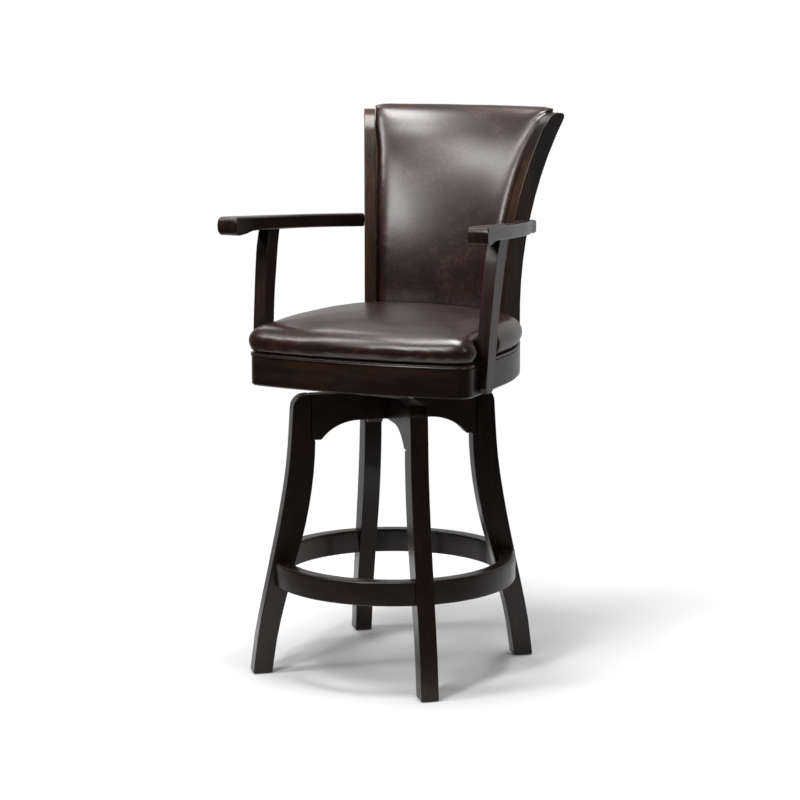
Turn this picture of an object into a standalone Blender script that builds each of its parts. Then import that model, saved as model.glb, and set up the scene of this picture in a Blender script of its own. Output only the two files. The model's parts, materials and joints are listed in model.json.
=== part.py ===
"""Swivel bar stool with arms: a sabre-legged wooden base with a round footrest, a ball-race swivel,
and a banded seat with a leather cushion, a curved leather back between two stiles, and two arms.

Metres, +Z up. The sitter faces -Y. Pieces are modelled about the swivel's axis, and the whole stool is
moved at the end so that its box stands centred on the origin.
"""

from math import acos, asin, atan2, cos, pi, radians, sin, sqrt, tan

import bmesh
import bpy
from mathutils import Matrix, Vector

# Joints and play between pieces
GAP = 0.0003
CUT_OVERRUN = 0.004
SOFT_CLEARANCE = 0.0015

# Base
BASE_TURN = radians(-8)
LEG_COUNT = 4
FIRST_LEG = radians(-45)
BASE_HEIGHT = 0.5995
LEG_THICKNESS = 0.038
FOOT_OUTER_RADIUS = 0.312
FOOT_DEPTH = 0.0415
LEG_TOP_OUTER_RADIUS = 0.2195
LEG_TOP_DEPTH = 0.0475
LEG_CORNER_RADIUS = 0.030
LEG_EASE = 0.0022
LEG_HEIGHT_shares = (0, 0.15, 0.35, 0.55, 0.75, 1)
LEG_OUTER_SPREAD_shares = (1, 0.87, 0.6, 0.325, 0.115, 0)
LEG_INNER_SPREAD_shares = (1, 0.858, 0.548, 0.218, 0.036, 0)
LEG_STEPS = 14

GLIDE_RADIUS = 0.012
GLIDE_THICKNESS = 0.005
GLIDE_PROUD = 0.0018

RAIL_THICKNESS = 0.034
RAIL_HOUSING = 0.0095
RAIL_END_HEIGHT = 0.0975
RAIL_LEDGE_LENGTH = 0.0215
RAIL_CROWN_HEIGHT = 0.0585
RAIL_CROWN_HALF_LENGTH = 0.078
RAIL_ARCH_RADIUS = 0.094
RAIL_EASE = 0.0015
TENON_LENGTH = 0.044
TENON_THICKNESS = 0.010
TENON_HEIGHT = 0.060

FOOTREST_SETBACK = 0.0036
FOOTREST_DEPTH = 0.032
FOOTREST_TOP_Z = 0.243
FOOTREST_HEIGHT = 0.051
FOOTREST_TOP_ROUND = 0.005
FOOTREST_LOW_EASE = 0.002
FOOTREST_STEPS = 14
FOOTREST_DOWEL_RADIUS = 0.005
FOOTREST_DOWEL_REACH = 0.018

# Swivel
SWIVEL_PLATE_SIDE = 0.178
SWIVEL_SHEET = 0.003
SWIVEL_HEIGHT = 0.0292
SWIVEL_BOSS_RADIUS = 0.064
SWIVEL_BOSS_RISE = 0.0075
SWIVEL_DISH_RADIUS = 0.060
SWIVEL_CORNER_RADIUS = 0.012
BALL_RING_RADIUS = 0.050
BALL_RING_WIDTH = 0.012
RIVET_OUTER_RADIUS = 0.014
RIVET_BORE_RADIUS = 0.0105
RIVET_FLANGE_RADIUS = 0.020
RIVET_FLANGE_THICKNESS = 0.0015
SCREW_INSET = 0.0125
SCREW_HEAD_RADIUS = 0.0055
SCREW_CROWN_RADIUS = 0.0033
SCREW_HEAD_HEIGHT = 0.0026
SCREW_SHANK_RADIUS = 0.0023
SCREW_LENGTH = 0.026
ROUND_STEPS = 40
SMALL_ROUND_STEPS = 16

# Seat
BAND_SKIRT = 0.004
BAND_HEIGHT = 0.060
BAND_WALL = 0.020
BAND_CHAMFER = 0.003
BAND_HALF_WIDTH = 0.2515
BAND_WIDEST_Y = 0.020
BAND_FRONT_Y = -0.222
BAND_REAR_Y = 0.2663
FRONT_BOW_RADIUS = 1.200
FRONT_CORNER_RADIUS = 0.034
FRONT_SIDE_RADIUS = 5.000
REAR_SIDE_RADIUS = 0.460
REAR_CORNER_RADIUS = 0.055
REAR_BOW_RADIUS = 0.384
PLAN_STEPS = (6, 8, 14, 5, 7, 7)

SEAT_RAIL_WIDTH = 0.046
SEAT_RAIL_OFFSET = 0.074

CUSHION_BOARD_THICKNESS = 0.0095
CUSHION_BOARD_INSET = 0.008
WELT_DEPTH = 0.008
CUSHION_OVERHANG = 0.003
CUSHION_REAR_SETBACK = 0.012
CUSHION_REAR_ROUND = 0.012
CUSHION_SIDE_HEIGHT = 0.020
CUSHION_BULGE = 0.004
CUSHION_SHOULDER_RISE = 0.038
CUSHION_SHOULDER_INSET = 0.040
CUSHION_SHOULDER_STEPS = 6
CUSHION_CROWN_RISE = 0.017
CUSHION_CROWN_shares = (0.84, 0.64, 0.4, 0.16)
CUSHION_LIP_share = 0.3
CUSHION_SEAM_DRAW = 0.005
CUSHION_DENT_REACH = 0.028

# Back
STILE_TURN = radians(23.5)
STILE_THICKNESS = 0.025
STILE_LIFT = 0.003
STILE_DEPTH = 0.055
STILE_FRONT_BEND_RISE = 0.037
STILE_FRONT_BEND_RADIUS = 0.774
STILE_REAR_BEND_RISE = 0.060
STILE_REAR_BEND_RADIUS = 0.700
STILE_FRONT_ROUND = 0.0375
STILE_REAR_ROUND = 0.018
STILE_CROWN_share = 0.5
STILE_REAR_ROUND_share = 0.45
STILE_EASE = 0.0022
STILE_STEPS = 12

BACK_RAIL_HEIGHT = 0.066
BACK_RAIL_DEPTH = 0.024
BACK_RAIL_SET = 0.016
PAD_LIFT = 0.0014
PAD_HEIGHT = 0.4875
PAD_PROUD = 0.0105
PAD_REAR = 0.030
PAD_CROWN = 0.013
PAD_EDGE_SET = 0.002
PAD_EDGE_ROLL = 0.016
PAD_TOP_ROLL = 0.022
PAD_HEAD_REAR = 0.046
PAD_HEAD_HEIGHT = 0.036
BACK_FRAME_THICKNESS = 0.011
COVER_THICKNESS = 0.0085
COVER_CROWN = 0.005
COVER_EDGE_ROLL = 0.010
COVER_EDGE_DROP_share = 0.6
PAD_HEAD_CROWD_share = 0.6
COVER_CROWD_share = 0.5
PAD_COLUMNS = 22
PAD_ROWS = 22
PAD_HEAD_ROWS = 7
SHELL_COLUMNS = 12
SHELL_ROWS = 14

# Arms
ARM_NOSE_Y = -0.226
ARM_RISE = 0.294
ARM_SLOPE = radians(3.74)
ARM_THICKNESS = 0.0285
ARM_NOSE_HEIGHT = 0.0385
ARM_NOSE_ROUND = 0.018
ARM_SCROLL_LENGTH = 0.078
ARM_NOSE_INNER_X = 0.2555
ARM_NOSE_WIDTH = 0.044
ARM_REAR_WIDTH = 0.041
ARM_LAP = 0.036
ARM_EASE = 0.003
ARM_STATION_shares = (0, 0.15, 0.35, 0.55, 0.75, 0.9, 1)
ARM_INNER_shares = (0, 0.135, 0.2, 0.25, 0.445, 0.755, 1)
ARM_OUTER_shares = (0, 0.085, 0.2, 0.37, 0.585, 0.82, 1)
ARM_LAP_shares = (0.35, 0.7, 0.92, 1)
ARM_TUCK_shares = (1, 1, 1.24, 1.4)
ARM_PEG_share = 0.55
ARM_NOSE_STEPS = 6
ARM_STEPS = 20
ROUND_TENON_RADIUS = 0.007
ROUND_TENON_LENGTH = 0.014

SUPPORT_HOUSING = 0.0125
SUPPORT_THICKNESS = 0.0258
SUPPORT_SPLAY = 0.0095
SUPPORT_LIFT = 0.002
SUPPORT_FOOT_Y = -0.142
SUPPORT_LEAN = 0.060
SUPPORT_DEPTH = 0.048
SUPPORT_END_ROUND = 0.020
SUPPORT_EASE = 0.002
SUPPORT_HEIGHT_shares = (0, 0.15, 0.35, 0.55, 0.75, 0.9, 1)
SUPPORT_FRONT_shares = (0, 0.15, 0.24, 0.4, 0.58, 0.76, 1)
SUPPORT_REAR_shares = (0, 0.1, 0.22, 0.37, 0.62, 0.82, 1)
SUPPORT_END_shares = (0.03, 0.15, 0.4, 0.7, 1)
SUPPORT_STEPS = 16
SUPPORT_FACE_STEPS = 5

BOLT_HEAD_RADIUS = 0.0065
BOLT_HEAD_HEIGHT = 0.004
BOLT_SHANK_RADIUS = 0.003
BOLT_BITE = 0.010
STILE_BOLT_BITE = 0.034
BOLT_LOW_RISE = 0.016
BOLT_HIGH_RISE = 0.043

# Sizes and places that follow from the sizes above
FOOT_INNER_RADIUS = FOOT_OUTER_RADIUS - FOOT_DEPTH
LEG_TOP_INNER_RADIUS = LEG_TOP_OUTER_RADIUS - LEG_TOP_DEPTH
RAIL_LEDGE_Z = BASE_HEIGHT - RAIL_END_HEIGHT
RAIL_CROWN_Z = BASE_HEIGHT - RAIL_CROWN_HEIGHT
SWIVEL_BOTTOM_Z = BASE_HEIGHT + GAP
SWIVEL_TOP_Z = SWIVEL_BOTTOM_Z + SWIVEL_HEIGHT
BAND_BOTTOM_Z = SWIVEL_TOP_Z - BAND_SKIRT
BAND_TOP_Z = BAND_BOTTOM_Z + BAND_HEIGHT
CUSHION_BOARD_Z = BAND_TOP_Z + GAP
SEAM_Z = CUSHION_BOARD_Z + CUSHION_BOARD_THICKNESS + GAP
PAD_BOTTOM_Z = SEAM_Z + PAD_LIFT
PAD_TOP_Z = PAD_BOTTOM_Z + PAD_HEIGHT
STILE_BOTTOM_Z = BAND_BOTTOM_Z + STILE_LIFT
STILE_TOP_Z = PAD_TOP_Z - PAD_PROUD
STILE_FRONT_BEND_Z = BAND_TOP_Z + STILE_FRONT_BEND_RISE
STILE_REAR_BEND_Z = BAND_TOP_Z + STILE_REAR_BEND_RISE
ARM_NOSE_Z = BAND_TOP_Z + ARM_RISE
ARM_NOSE_OUTER_X = ARM_NOSE_INNER_X + ARM_NOSE_WIDTH
SUPPORT_INNER_X = BAND_HALF_WIDTH - SUPPORT_HOUSING
SUPPORT_BOTTOM_Z = BAND_BOTTOM_Z + SUPPORT_LIFT

WOOD = ("espresso_wood", (0.022, 0.012, 0.009), 0.32, 0)
PLYWOOD = ("plywood", (0.42, 0.29, 0.17), 0.7, 0)
BEECH = ("beech", (0.5, 0.34, 0.2), 0.6, 0)
LEATHER = ("brown_leather", (0.045, 0.022, 0.016), 0.38, 0)
STEEL = ("zinc_plated_steel", (0.55, 0.55, 0.56), 0.35, 1)
BLACK_STEEL = ("black_steel", (0.03, 0.03, 0.032), 0.45, 1)
NYLON = ("black_nylon", (0.02, 0.02, 0.02), 0.5, 0)


def clear_scene():
    for obj in list(bpy.data.objects):
        bpy.data.objects.remove(obj, do_unlink=True)


def material_of(look, node):
    name, color, roughness, metallic = look
    material = bpy.data.materials.new(f"{node}_{name}")
    material.use_nodes = True
    shader = material.node_tree.nodes["Principled BSDF"]
    shader.inputs["Base Color"].default_value = (*color, 1)
    shader.inputs["Roughness"].default_value = roughness
    shader.inputs["Metallic"].default_value = metallic
    return material


def empty(name, parent=None):
    holder = bpy.data.objects.new(name, None)
    bpy.context.collection.objects.link(holder)
    holder.parent = parent
    return holder


def add_mesh(name, bm, look, parent, turn=0, place=(0, 0, 0)):
    """Closes a bmesh into an object with outward faces, turned about Z and placed under its parent."""
    bmesh.ops.recalc_face_normals(bm, faces=bm.faces)
    mesh = bpy.data.meshes.new(name)
    bm.to_mesh(mesh)
    bm.free()
    mesh.shade_smooth()
    mesh.set_sharp_from_angle(angle=radians(35))
    obj = bpy.data.objects.new(name, mesh)
    bpy.context.collection.objects.link(obj)
    obj.rotation_euler.z = turn
    obj.location = place
    obj.parent = parent
    if look:
        mesh.materials.append(material_of(look, name))
    else:
        obj.hide_render = True
        obj.display_type = "WIRE"
    return obj


def ease(obj, width, steps=2):
    """A small bevel along an object's sharp edges."""
    bevel = obj.modifiers.new("ease", "BEVEL")
    bevel.width = width
    bevel.segments = steps
    bevel.limit_method = "ANGLE"
    bevel.angle_limit = radians(40)


def cut(target, cutter, operation="DIFFERENCE"):
    modifier = target.modifiers.new(f"{operation.lower()}_{cutter.name}", "BOOLEAN")
    modifier.operation = operation
    modifier.solver = "EXACT"
    modifier.object = cutter


def loft(rings, closed=False):
    """A bmesh skin through rings of points; an open run of rings gets an end cap at each end."""
    bm = bmesh.new()
    loops = [[bm.verts.new(point) for point in ring] for ring in rings]
    pairs = list(zip(loops, loops[1:]))
    if closed:
        pairs.append((loops[-1], loops[0]))
    for first, second in pairs:
        for i in range(len(first)):
            j = (i + 1) % len(first)
            bm.faces.new((first[i], first[j], second[j], second[i]))
    if not closed:
        bm.faces.new(loops[0])
        bm.faces.new(loops[-1])
    return bm


def board(outline, thickness):
    """An outline of (along, up) points extruded to a thickness either side of the local XZ plane."""
    sides = (-thickness / 2, thickness / 2)
    return loft([[(along, side, up) for along, up in outline] for side in sides])


def block(low, high):
    corners = ((low[0], low[1]), (high[0], low[1]), (high[0], high[1]), (low[0], high[1]))
    return loft([[(x, y, z) for x, y in corners] for z in (low[2], high[2])])


def lathe(profile, steps):
    """A closed profile of (radius, height) points turned about Z into a ring."""
    angles = [2 * pi * k / steps for k in range(steps)]
    rings = [[(r * cos(a), r * sin(a), z) for a in angles] for r, z in profile]
    bm = bmesh.new()
    loops = [[bm.verts.new(point) for point in ring] for ring in rings]
    for first, second in zip(loops, loops[1:] + loops[:1]):
        for i in range(steps):
            j = (i + 1) % steps
            bm.faces.new((first[i], first[j], second[j], second[i]))
    return bm


def rod(sections, steps=SMALL_ROUND_STEPS):
    """A stepped round rod along local Z from (radius, height) pairs."""
    angles = [2 * pi * k / steps for k in range(steps)]
    return loft([[(r * cos(a), r * sin(a), z) for a in angles] for r, z in sections])


def arc(center, radius, start, end, steps):
    angles = [start + (end - start) * k / steps for k in range(steps + 1)]
    return [(center[0] + radius * cos(a), center[1] + radius * sin(a)) for a in angles]


def blend(xs, ys, x):
    """A smooth curve through the points (xs, ys), read at x."""
    i = max(k for k in range(len(xs) - 1) if k == 0 or xs[k] <= x)
    width = xs[i + 1] - xs[i]

    def slope(k):
        low, high = max(k - 1, 0), min(k + 1, len(xs) - 1)
        return (ys[high] - ys[low]) / (xs[high] - xs[low])

    t = (x - xs[i]) / width
    start, end = ys[i], ys[i + 1]
    rise = width * slope(i)
    fall = width * slope(i + 1)
    return (
        start * (2 * t**3 - 3 * t**2 + 1)
        + rise * (t**3 - 2 * t**2 + t)
        + end * (3 * t**2 - 2 * t**3)
        + fall * (t**3 - t**2)
    )


def corner_centre(first, first_radius, second, second_radius, radius):
    """The centre, on the +X side, of a corner's circle that touches two larger circles from inside."""
    near, far = first_radius - radius, second_radius - radius
    apart = second - first
    along = (near**2 - far**2 + apart.length_squared) / (2 * apart.length)
    across = sqrt(near**2 - along**2)
    unit = apart.normalized()
    options = [first + unit * along + Vector((-unit.y, unit.x)) * side * across for side in (-1, 1)]
    return max(options, key=lambda option: option.x)


def plan_arcs():
    """The seat's plan on the +X side as touching arcs: centre, radius, first and last outward direction."""
    front = Vector((0, BAND_FRONT_Y + FRONT_BOW_RADIUS))
    front_side = Vector((BAND_HALF_WIDTH - FRONT_SIDE_RADIUS, BAND_WIDEST_Y))
    rear_side = Vector((BAND_HALF_WIDTH - REAR_SIDE_RADIUS, BAND_WIDEST_Y))
    rear = Vector((0, BAND_REAR_Y - REAR_BOW_RADIUS))
    front_corner = corner_centre(
        front, FRONT_BOW_RADIUS, front_side, FRONT_SIDE_RADIUS, FRONT_CORNER_RADIUS
    )
    rear_corner = corner_centre(rear, REAR_BOW_RADIUS, rear_side, REAR_SIDE_RADIUS, REAR_CORNER_RADIUS)
    circles = (
        (front, FRONT_BOW_RADIUS),
        (front_corner, FRONT_CORNER_RADIUS),
        (front_side, FRONT_SIDE_RADIUS),
        (rear_side, REAR_SIDE_RADIUS),
        (rear_corner, REAR_CORNER_RADIUS),
        (rear, REAR_BOW_RADIUS),
    )
    turns = [-pi / 2]
    for big, small in ((front, front_corner), (front_side, front_corner)):
        touch = small - big
        turns.append(atan2(touch.y, touch.x))
    turns.append(0)
    for big, small in ((rear_side, rear_corner), (rear, rear_corner)):
        touch = small - big
        turns.append(atan2(touch.y, touch.x))
    turns.append(pi / 2)
    return [(centre, radius, *ends) for (centre, radius), ends in zip(circles, zip(turns, turns[1:]))]


PLAN_ARCS = plan_arcs()
PLAN_TURNS = [
    start + (end - start) * k / steps
    for (_, _, start, end), steps in zip(PLAN_ARCS, PLAN_STEPS)
    for k in range(steps)
] + [pi / 2]


def plan_point(turn, grow=0):
    """The plan's point on the +X side where its outward side faces a direction, moved outwards by grow."""
    for centre, radius, _, end in PLAN_ARCS:
        if turn <= end:
            break
    return centre + Vector((cos(turn), sin(turn))) * (radius + grow)


def plan_turn(y, grow=0):
    """The direction that the plan's +X side faces at a given y."""
    for centre, radius, start, end in PLAN_ARCS:
        share = (y - centre.y) / (radius + grow)
        if abs(share) <= 1 and start <= asin(share) <= end:
            return asin(share)
    raise ValueError(f"the seat's plan doesn't reach y {y}")


def plan_half_width(y, grow=0):
    return plan_point(plan_turn(y, grow), grow).x


# The back stands on one arc with the seat's rear, its stiles square to that arc.
BACK_RADIUS = REAR_BOW_RADIUS
BACK_CENTRE_Y = BAND_REAR_Y - BACK_RADIUS


def bend(z, start_z, radius):
    """How far a board that bends back above start_z has moved at height z."""
    rise = max(z - start_z, 0)
    return radius - sqrt(radius**2 - rise**2)


def lean(z):
    """How far the stiles' front edges, and what follows them, lie behind the seat's rear at height z."""
    return GAP + bend(z, STILE_FRONT_BEND_Z, STILE_FRONT_BEND_RADIUS)


def lean_rear(z):
    return GAP + STILE_DEPTH + bend(z, STILE_REAR_BEND_Z, STILE_REAR_BEND_RADIUS)


def back_point(share, z, depth, side_gap):
    """A point of the back, at a depth behind the stiles' fronts: share runs from -1, left, to 1, right."""
    radius = BACK_RADIUS + lean(z) + depth
    reach = STILE_TURN - asin((STILE_THICKNESS / 2 + side_gap) / radius)
    return Vector((radius * sin(share * reach), BACK_CENTRE_Y + radius * cos(share * reach), z))


def leg_edge(height_share, spread_shares, top_radius, foot_radius):
    return top_radius + (foot_radius - top_radius) * blend(LEG_HEIGHT_shares, spread_shares, height_share)


def leg_outer(z):
    return leg_edge(z / BASE_HEIGHT, LEG_OUTER_SPREAD_shares, LEG_TOP_OUTER_RADIUS, FOOT_OUTER_RADIUS)


def leg_inner(z):
    return leg_edge(z / BASE_HEIGHT, LEG_INNER_SPREAD_shares, LEG_TOP_INNER_RADIUS, FOOT_INNER_RADIUS)


def leg_heights(low, high):
    return [low + (high - low) * k / LEG_STEPS for k in range(LEG_STEPS + 1)]


RAIL_END = LEG_TOP_INNER_RADIUS + RAIL_HOUSING


def leg_outline():
    """The sawn side of a sabre leg, with the rail's housing at its inner top and a round outer shoulder."""
    shoulder_z = BASE_HEIGHT - LEG_CORNER_RADIUS
    housing_z = RAIL_LEDGE_Z - GAP
    outer = [(leg_outer(z), z) for z in leg_heights(GLIDE_PROUD, shoulder_z)]
    corner = arc(
        (leg_outer(shoulder_z) - LEG_CORNER_RADIUS, shoulder_z), LEG_CORNER_RADIUS, 0, pi / 2, 6
    )
    inner = [(leg_inner(z), z) for z in reversed(leg_heights(GLIDE_PROUD, housing_z))]
    housing = [(RAIL_END + GAP, BASE_HEIGHT), (RAIL_END + GAP, housing_z)]
    return outer[:-1] + corner + housing + inner


def leg_azimuths():
    return [FIRST_LEG + k * 2 * pi / LEG_COUNT - pi / 2 for k in range(LEG_COUNT)]


FOOTREST_OUTER_RADIUS = leg_outer(FOOTREST_TOP_Z) - FOOTREST_SETBACK
LEG_NAMES = ("front_left", "front_right", "rear_right", "rear_left")
FOOTREST_MID_RADIUS = FOOTREST_OUTER_RADIUS - FOOTREST_DEPTH / 2
FOOTREST_MID_Z = FOOTREST_TOP_Z - FOOTREST_HEIGHT / 2
TENON_Z = (RAIL_LEDGE_Z + BASE_HEIGHT) / 2


def dowel_through_leg(play):
    """A round bar lying square across a leg, at the footrest's middle, in the leg's own frame."""
    half = LEG_THICKNESS / 2 + FOOTREST_DOWEL_REACH + play
    bm = rod([(FOOTREST_DOWEL_RADIUS + play, -half), (FOOTREST_DOWEL_RADIUS + play, half)])
    bmesh.ops.rotate(bm, verts=bm.verts, matrix=Matrix.Rotation(pi / 2, 3, "X"))
    bmesh.ops.translate(bm, verts=bm.verts, vec=(FOOTREST_MID_RADIUS, 0, FOOTREST_MID_Z))
    return bm


def tenon_block(play):
    """A loose tenon across a leg's housing, in the leg's own frame."""
    half = (TENON_LENGTH / 2 + play, TENON_THICKNESS / 2 + play, TENON_HEIGHT / 2 + play)
    bm = block([-side for side in half], half)
    bmesh.ops.translate(bm, verts=bm.verts, vec=(RAIL_END, 0, TENON_Z))
    return bm


def glide_disc(play):
    top = GLIDE_THICKNESS + play
    low = -CUT_OVERRUN if play else 0
    bm = rod([(GLIDE_RADIUS + play, low), (GLIDE_RADIUS + play, top)], 24)
    foot_middle = (FOOT_OUTER_RADIUS + FOOT_INNER_RADIUS) / 2
    bmesh.ops.translate(bm, verts=bm.verts, vec=(foot_middle, 0, 0))
    return bm


def build_legs(base):
    """Four legs with their tenons, glides and footrest dowels. Returns the cutters that the rails share."""
    cutters = []
    for azimuth, place in zip(leg_azimuths(), LEG_NAMES):
        leg = add_mesh(f"leg_{place}", board(leg_outline(), LEG_THICKNESS), WOOD, base, azimuth)
        ease(leg, LEG_EASE)
        dowel_hole = add_mesh(f"dowel_cut_{place}", dowel_through_leg(GAP), None, base, azimuth)
        tenon_hole = add_mesh(f"tenon_cut_{place}", tenon_block(GAP), None, base, azimuth)
        glide_hole = add_mesh(f"glide_cut_{place}", glide_disc(GAP), None, base, azimuth)
        for hole in (dowel_hole, tenon_hole, glide_hole):
            cut(leg, hole)
        add_mesh(f"leg_tenon_{place}", tenon_block(0), BEECH, base, azimuth)
        add_mesh(f"footrest_dowel_{place}", dowel_through_leg(0), BEECH, base, azimuth)
        add_mesh(f"glide_{place}", glide_disc(0), NYLON, base, azimuth)
        cutters.append((dowel_hole, tenon_hole))
    return cutters


def rail_half_arch():
    """The underside from the crown's end to the ledge: a round arch and a flat ledge beside the leg."""
    center_z = RAIL_CROWN_Z - RAIL_ARCH_RADIUS
    ledge_start = RAIL_END - GAP - RAIL_LEDGE_LENGTH
    sweep = acos((RAIL_LEDGE_Z - center_z) / RAIL_ARCH_RADIUS)
    arch = arc((RAIL_CROWN_HALF_LENGTH, center_z), RAIL_ARCH_RADIUS, pi / 2, pi / 2 - sweep, 9)
    stretch = (ledge_start - RAIL_CROWN_HALF_LENGTH) / (RAIL_ARCH_RADIUS * sin(sweep))
    spread = [(RAIL_CROWN_HALF_LENGTH + (x - RAIL_CROWN_HALF_LENGTH) * stretch, z) for x, z in arch]
    return spread + [(RAIL_END - GAP, RAIL_LEDGE_Z)]


def build_rails(base, cutters):
    """Two arched rails that cross under the swivel in a half lap, each tenoned to a pair of legs."""
    right = rail_half_arch()
    left = [(-x, z) for x, z in reversed(right)]
    outline = left + right + [(RAIL_END - GAP, BASE_HEIGHT), (-RAIL_END + GAP, BASE_HEIGHT)]
    lap_z = (RAIL_CROWN_Z + BASE_HEIGHT) / 2
    half = RAIL_THICKNESS / 2 + GAP
    laps = (
        ((-half, -RAIL_THICKNESS, lap_z - GAP / 2), (half, RAIL_THICKNESS, BASE_HEIGHT + CUT_OVERRUN)),
        ((-half, -RAIL_THICKNESS, RAIL_CROWN_Z - CUT_OVERRUN), (half, RAIL_THICKNESS, lap_z + GAP / 2)),
    )
    rails = []
    for k, name in enumerate(("cross_rail_lower_lap", "cross_rail_upper_lap")):
        azimuth = leg_azimuths()[k]
        rail = add_mesh(name, board(outline, RAIL_THICKNESS), WOOD, base, azimuth)
        ease(rail, RAIL_EASE)
        cut(rail, add_mesh(f"lap_cut_{k}", block(*laps[k]), None, base, azimuth))
        for _, tenon_hole in (cutters[k], cutters[k + 2]):
            cut(rail, tenon_hole)
        rails.append(rail)
    return rails


def footrest_section():
    """The footrest's section as (radius, height) points: rounded above, eased below."""
    outer, top = FOOTREST_OUTER_RADIUS, FOOTREST_TOP_Z
    inner, bottom = outer - FOOTREST_DEPTH, top - FOOTREST_HEIGHT
    rounding, small = FOOTREST_TOP_ROUND, FOOTREST_LOW_EASE
    crown = arc((outer - rounding, top - rounding), rounding, 0, pi / 2, 3)
    crown += arc((inner + rounding, top - rounding), rounding, pi / 2, pi, 3)
    crown += [(inner, bottom + small), (inner + small, bottom)]
    return crown + [(outer - small, bottom), (outer, bottom + small)]


def build_footrest(base, cutters):
    """Four curved pieces between the legs, each end sawn flat to a leg's side and dowelled through it."""
    stand_off = LEG_THICKNESS / 2 + GAP
    section = footrest_section()
    for k, place in enumerate(("front", "right", "rear", "left")):
        rings = []
        for step in range(FOOTREST_STEPS + 1):
            share = step / FOOTREST_STEPS
            ring = []
            for radius, z in section:
                start = asin(stand_off / radius)
                angle = start + (pi / 2 - 2 * start) * share
                ring.append((radius * cos(angle), radius * sin(angle), z))
            rings.append(ring)
        piece = add_mesh(f"footrest_{place}", loft(rings), WOOD, base, leg_azimuths()[k])
        for dowel_hole, _ in (cutters[k], cutters[(k + 1) % LEG_COUNT]):
            cut(piece, dowel_hole)


def square_plate(z):
    half, corner = SWIVEL_PLATE_SIDE / 2, SWIVEL_CORNER_RADIUS
    straight = half - corner
    outline = []
    for k, (x, y) in enumerate(((1, 1), (-1, 1), (-1, -1), (1, -1))):
        outline += arc((x * straight, y * straight), corner, k * pi / 2, (k + 1) * pi / 2, 3)
    return loft([[(x, y, height) for x, y in outline] for height in (z, z + SWIVEL_SHEET)])


def screw_places():
    reach = SWIVEL_PLATE_SIDE / 2 - SCREW_INSET
    return [(x * reach, y * reach) for x, y in ((-1, -1), (1, -1), (1, 1), (-1, 1))]


def placed(bm, place, turned_over=False):
    if turned_over:
        bmesh.ops.rotate(bm, verts=bm.verts, matrix=Matrix.Rotation(pi, 3, "X"))
    bmesh.ops.translate(bm, verts=bm.verts, vec=place)
    return bm


def screw(play):
    """A pan-head screw pointing down, its head's underside at z 0."""
    shank = SCREW_SHANK_RADIUS + play
    head = [(shank, 0), (SCREW_HEAD_RADIUS, 0), (SCREW_CROWN_RADIUS, SCREW_HEAD_HEIGHT)]
    if play:
        head = [(shank, CUT_OVERRUN)]
    return rod([(shank, -SCREW_LENGTH - play)] + head)


def swivel_plate(name, parent, turned_over):
    """A pressed steel plate with a raised boss, dished underneath, that carries one side of the race."""
    boss_top = SWIVEL_SHEET + SWIVEL_BOSS_RISE
    bore = RIVET_OUTER_RADIUS + GAP
    profile = [
        (bore, boss_top),
        (SWIVEL_BOSS_RADIUS - SWIVEL_SHEET, boss_top),
        (SWIVEL_BOSS_RADIUS, SWIVEL_SHEET),
        (SWIVEL_BOSS_RADIUS, SWIVEL_SHEET / 2),
        (bore, SWIVEL_SHEET / 2),
    ]
    dish_depth = boss_top - SWIVEL_SHEET
    dish_profile = [(SWIVEL_DISH_RADIUS, -CUT_OVERRUN), (SWIVEL_DISH_RADIUS - SWIVEL_SHEET, dish_depth)]
    dish = rod(dish_profile, ROUND_STEPS)
    z = SWIVEL_TOP_Z if turned_over else SWIVEL_BOTTOM_Z
    place = (0, 0, z)
    sheet = add_mesh(name, placed(square_plate(0), place, turned_over), STEEL, parent)
    boss = add_mesh(f"{name}_boss", placed(lathe(profile, ROUND_STEPS), place, turned_over), None, parent)
    hollow = add_mesh(f"{name}_dish", placed(dish, place, turned_over), None, parent)
    bore_rod = rod([(bore, -CUT_OVERRUN), (bore, boss_top + CUT_OVERRUN)], ROUND_STEPS)
    middle = add_mesh(f"{name}_bore", placed(bore_rod, place, turned_over), None, parent)
    cut(sheet, boss, "UNION")
    cut(sheet, hollow)
    cut(sheet, middle)
    return sheet


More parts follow.
